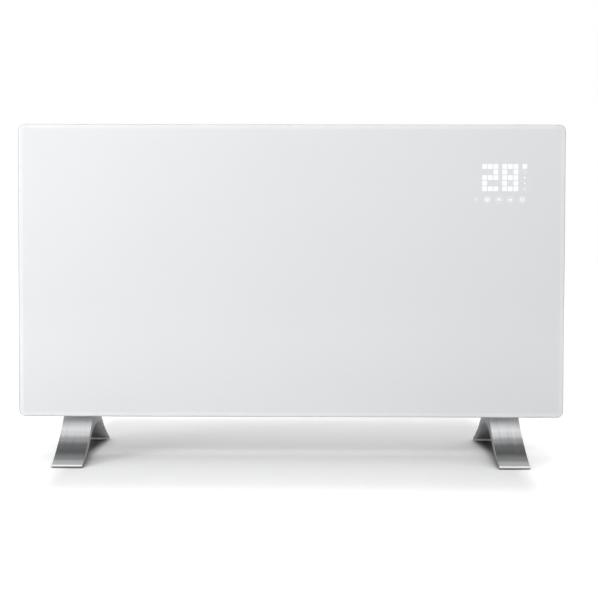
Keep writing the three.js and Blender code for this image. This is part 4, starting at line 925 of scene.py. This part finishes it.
def feet():
    outline = foot_outline()
    faces = ring_faces(2, len(outline))
    face_finishes = [finish for _, _, finish in outline] + [SAWN, SAWN]
    finishes = [extruded_foot(), SLOT_MATERIALS["foot_aluminium"], sawn_foot(), polished_chamfer(),
                milled_lip()]
    for side in ("left", "right"):
        low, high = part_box(f"foot_{side}")
        name = f"arched_foot_{side}"
        vertices = [(x, y * MM, z * MM) for x in (low.x, high.x) for y, z, _ in outline]
        piece = add_piece(name, new_mesh(name, vertices, faces, finishes, face_finishes))
        carve(piece, screw_pockets((low.x + high.x) / 2), self_join=True)
        add_bevel(piece, FOOT_ROUNDING * MM)
        add_smooth(piece)
        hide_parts(f"foot_{side}")


# ----------------------------------------------------------------------------------------------
# Small fittings
# ----------------------------------------------------------------------------------------------

def cross_cutter():
    """A plus-shaped cutter that narrows towards its tip."""
    w = RECESS_WIDTH / 2 * MM
    r = RECESS_REACH / 2 * MM
    plus = [
        (w, w), (w, r), (-w, r), (-w, w), (-r, w), (-r, -w),
        (-w, -w), (-w, -r), (w, -r), (w, -w), (r, -w), (r, w),
    ]
    bottom, top = RECESS_DEPTHS
    vertices = [(u, top * MM, v) for u, v in plus]
    vertices += [(u * RECESS_TIP_SHARE, bottom * MM, v * RECESS_TIP_SHARE) for u, v in plus]
    return new_object("cross", new_mesh("cross", vertices, ring_faces(2, len(plus))))


def pan_head_mesh():
    """A pan-head screw with a cross recess."""
    vertices, faces = lathe(SCREW_PROFILE)
    blank = new_object("pan_head", new_mesh("pan_head", vertices, faces, [SLOT_MATERIALS["screw_steel"]]))
    carve(blank, cross_cutter())
    mesh = blank.data
    bpy.data.objects.remove(blank)
    mesh.shade_smooth()
    mesh.set_sharp_from_angle(angle=SCREW_SHARP_ANGLE)
    return mesh


def back_screws():
    """One shared screw mesh in place of each plain screw on the back."""
    mesh = pan_head_mesh()
    for name in sorted(name for name in frame["nodes"] if name.startswith("back_screw_")):
        low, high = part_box(name)
        piece = add_piece(f"pan_head_{name[-1]}", mesh)
        piece.location = ((low.x + high.x) / 2, low.y + SCREW_SHANK * MM, (low.z + high.z) / 2)
        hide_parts(name)


def hanger_rivets():
    """Four flat dome rivets on each wall plate."""
    dome_vertices, dome_faces = lathe(RIVET_PROFILE, RIVET_STEPS)
    for side in ("left", "right"):
        low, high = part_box(f"hanger_plate_{side}")
        vertices = []
        faces = []
        for x in (low.x + RIVET_INSET, high.x - RIVET_INSET):
            for z in (low.z + RIVET_INSET, high.z - RIVET_INSET):
                faces += shifted(dome_faces, len(vertices))
                vertices += [(x + u, high.y + v, z + w) for u, v, w in dome_vertices]
        name = f"hanger_rivets_{side}"
        mesh = new_mesh(name, vertices, faces, [SLOT_MATERIALS["screw_steel"]])
        add_smooth(add_piece(name, mesh))


def rocker_marks():
    """The bar and ring of an on-off rocker, raised a little from its face."""
    joint = next(j for j in frame["joints"] if j["name"] == "main_switch_rock")
    pivot = Vector(joint["pos_m"])
    turn = Matrix.Rotation(ROCKER_TILT, 3, "Y")
    white = moulded("rocker_mark", (0.75, 0.76, 0.76), 0.01 * MM, 0.35, 0.45)

    def on_face(y, z, rise):
        """A point over the face, which dips in a V towards the pivot."""
        x = ROCKER_FACE - ROCKER_DIP * (1 - abs(z) / ROCKER_HALF_HEIGHT) + rise
        return pivot + turn @ Vector((x, y, z))

    def mark(name, rings, joined=False):
        vertices = [on_face(y, z, rise) for outline, rise in rings for y, z in outline]
        faces = ring_faces(len(rings), len(rings[0][0]), joined)
        add_piece(name, new_mesh(name, vertices, faces, [white]), body="rocker")

    bar = moved(rounded_outline(*ON_BAR_HALF_SIZE, ON_BAR_CORNER, 3), 0, -MARK_SHIFT)
    mark("rocker_on_bar", [(bar, MARK_RISE), (bar, -MARK_SINK)])
    outer, hole = [moved(circle(radius, OFF_RING_STEPS), 0, MARK_SHIFT) for radius in OFF_RING_RADII]
    ring = [(outer, MARK_RISE), (hole, MARK_RISE), (hole, -MARK_SINK), (outer, -MARK_SINK)]
    mark("rocker_off_ring", ring, joined=True)


# ----------------------------------------------------------------------------------------------
# Stage, lamps and camera
# ----------------------------------------------------------------------------------------------

def openness(tree, reach):
    """1 where nothing is near the floor, towards 0 where it is covered."""
    made = tree.node("ShaderNodeAmbientOcclusion", {"Distance": reach}, samples=FLOOR_COVER_SAMPLES)
    return made.outputs["AO"]


def outside_shade(tree, split):
    """0 on the painted soft shadow below the heater, rising to 1 past its soft edge and round corners."""
    past = []
    for axis, middle, half, fade in zip("XY", SHADE_MIDDLE, SHADE_HALF_SIZE, SHADE_FADE):
        off = tree.math("ABSOLUTE", tree.math("SUBTRACT", split.outputs[axis], middle))
        off = tree.math("MAXIMUM", tree.math("SUBTRACT", off, half), 0.0)
        past.append(tree.math("POWER", tree.math("DIVIDE", off, fade), 2.0))
    return tree.step(tree.math("SQRT", tree.math("ADD", *past)), (0.0, 1.0))


def painted_foot_shadows(tree, split):
    """A painted shadow: dark on the ground below each foot and beside its inner side, 1 elsewhere."""
    low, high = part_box("foot_right")
    across = tree.math("ABSOLUTE", split.outputs["X"])
    lengthways = tree.math("ABSOLUTE", split.outputs["Y"])
    inner = tree.step(tree.math("SUBTRACT", low.x, across), FOOT_SHADOW_INNER_SPAN, FOOT_SHADOW_TONES)
    outer = tree.step(tree.math("SUBTRACT", across, high.x), FOOT_SHADOW_OUTER_SPAN)
    ends = tree.step(lengthways, FOOT_SHADOW_ENDS)
    return tree.math("MAXIMUM", tree.math("MAXIMUM", inner, outer), ends)


def studio_floor():
    """A diffuse floor with a glow that only eyes and mirrors see, so that it lights nothing."""
    material = bpy.data.materials.new("studio_floor")
    tree = Tree(material)
    tree.nodes.clear()
    place = tree.node("ShaderNodeTexCoord").outputs["Object"]
    split = tree.node("ShaderNodeSeparateXYZ", {"Vector": place})
    distance = tree.node("ShaderNodeVectorMath", {0: place}, operation="LENGTH").outputs["Value"]
    # Painted shade: the floor's colour and glow are darkened below the heater, under and beside the feet, and
    # where things come near it.
    beside = outside_shade(tree, split)
    under = painted_foot_shadows(tree, split)
    contact = tree.step(openness(tree, FLOOR_CONTACT_REACH), FLOOR_CONTACT_SPAN, FLOOR_CONTACT_TONES)
    contact = tree.math("MULTIPLY", tree.math("MAXIMUM", contact, beside), under)
    beside = tree.math("MULTIPLY", beside, under)
    diffuse = tree.node("ShaderNodeBsdfDiffuse", {"Color": tree.scaled(FLOOR_COLOR, contact)})

    lift = tree.math("POWER", openness(tree, FLOOR_OPEN_REACH), FLOOR_OPEN_POWER)
    lift = tree.math("MULTIPLY", lift, FLOOR_LIFT_OPEN)
    lift = tree.math("MULTIPLY", lift, contact)
    lift = tree.math("ADD", lift, tree.math("MULTIPLY", beside, FLOOR_LIFT_SIDE))
    lift = tree.math("ADD", lift, tree.step(distance, FLOOR_FAR_SPAN, (0.0, FLOOR_LIFT_FAR)))
    glow = tree.node("ShaderNodeEmission", {"Strength": tree.math("MULTIPLY", lift, tree.seen_rays())})
    both = tree.node("ShaderNodeAddShader", {0: diffuse.outputs[0], 1: glow.outputs[0]})
    tree.node("ShaderNodeOutputMaterial", {"Surface": both.outputs[0]})
    return material


def floor():
    """A pale floor that stays white round the heater and keeps the soft shadow below it, partly cast by the
    lamps and partly painted.
    """
    r = FLOOR_HALF_WIDTH
    mesh = bpy.data.meshes.new("floor")
    mesh.from_pydata([(-r, -r, 0), (r, -r, 0), (r, r, 0), (-r, r, 0)], [], [(0, 1, 2, 3)])
    mesh.materials.append(studio_floor())
    new_object("floor", mesh)


def world():
    studio = bpy.data.worlds.new("studio")
    bpy.context.scene.world = studio
    tree = Tree(studio)
    background = tree.nodes["Background"]
    background.inputs["Color"].default_value = (1, 1, 1, 1)
    strength = tree.between(tree.seen_rays(), WORLD_DIFFUSE, WORLD_SEEN, start=0.0, end=1.0)
    tree.links.new(strength, background.inputs["Strength"])


def lamps():
    for name, place, size, power, target in LAMPS:
        data = bpy.data.lights.new(name, "AREA")
        data.shape = "RECTANGLE"
        data.size, data.size_y = size
        data.energy = power
        lamp = new_object(name, data)
        lamp.location = place
        lamp.visible_glossy = False
        lamp.rotation_euler = (Vector(target) - Vector(place)).to_track_quat("-Z", "Y").to_euler()


def camera():
    data = bpy.data.cameras.new("camera")
    data.sensor_width = SENSOR_WIDTH
    data.lens = FOCAL_PIXELS / IMAGE_SIZE * SENSOR_WIDTH
    data.shift_x = (IMAGE_SIZE / 2 - PRINCIPAL_POINT[0]) / IMAGE_SIZE
    data.shift_y = (PRINCIPAL_POINT[1] - IMAGE_SIZE / 2) / IMAGE_SIZE
    data.clip_end = CAMERA_CLIP_END
    view = new_object("camera", data)
    view.location = CAMERA_PLACE
    aim = Matrix.Rotation(-CAMERA_YAW, 3, "Z") @ Matrix.Rotation(math.pi / 2 - CAMERA_PITCH, 3, "X")
    view.rotation_euler = (aim @ Matrix.Rotation(-CAMERA_ROLL, 3, "Z")).to_euler()
    bpy.context.scene.camera = view


camera()
dress_nodes()
glass_face = glass_front()
mark_light = mark_lights()
display(glass_face, mark_light)
touch_symbols(glass_face, mark_light)
feet()
back_screws()
hanger_rivets()
rocker_marks()
floor()
world()
lamps()
bpy.context.scene.view_settings.view_transform = "Standard"

bpy.context.view_layer.update()
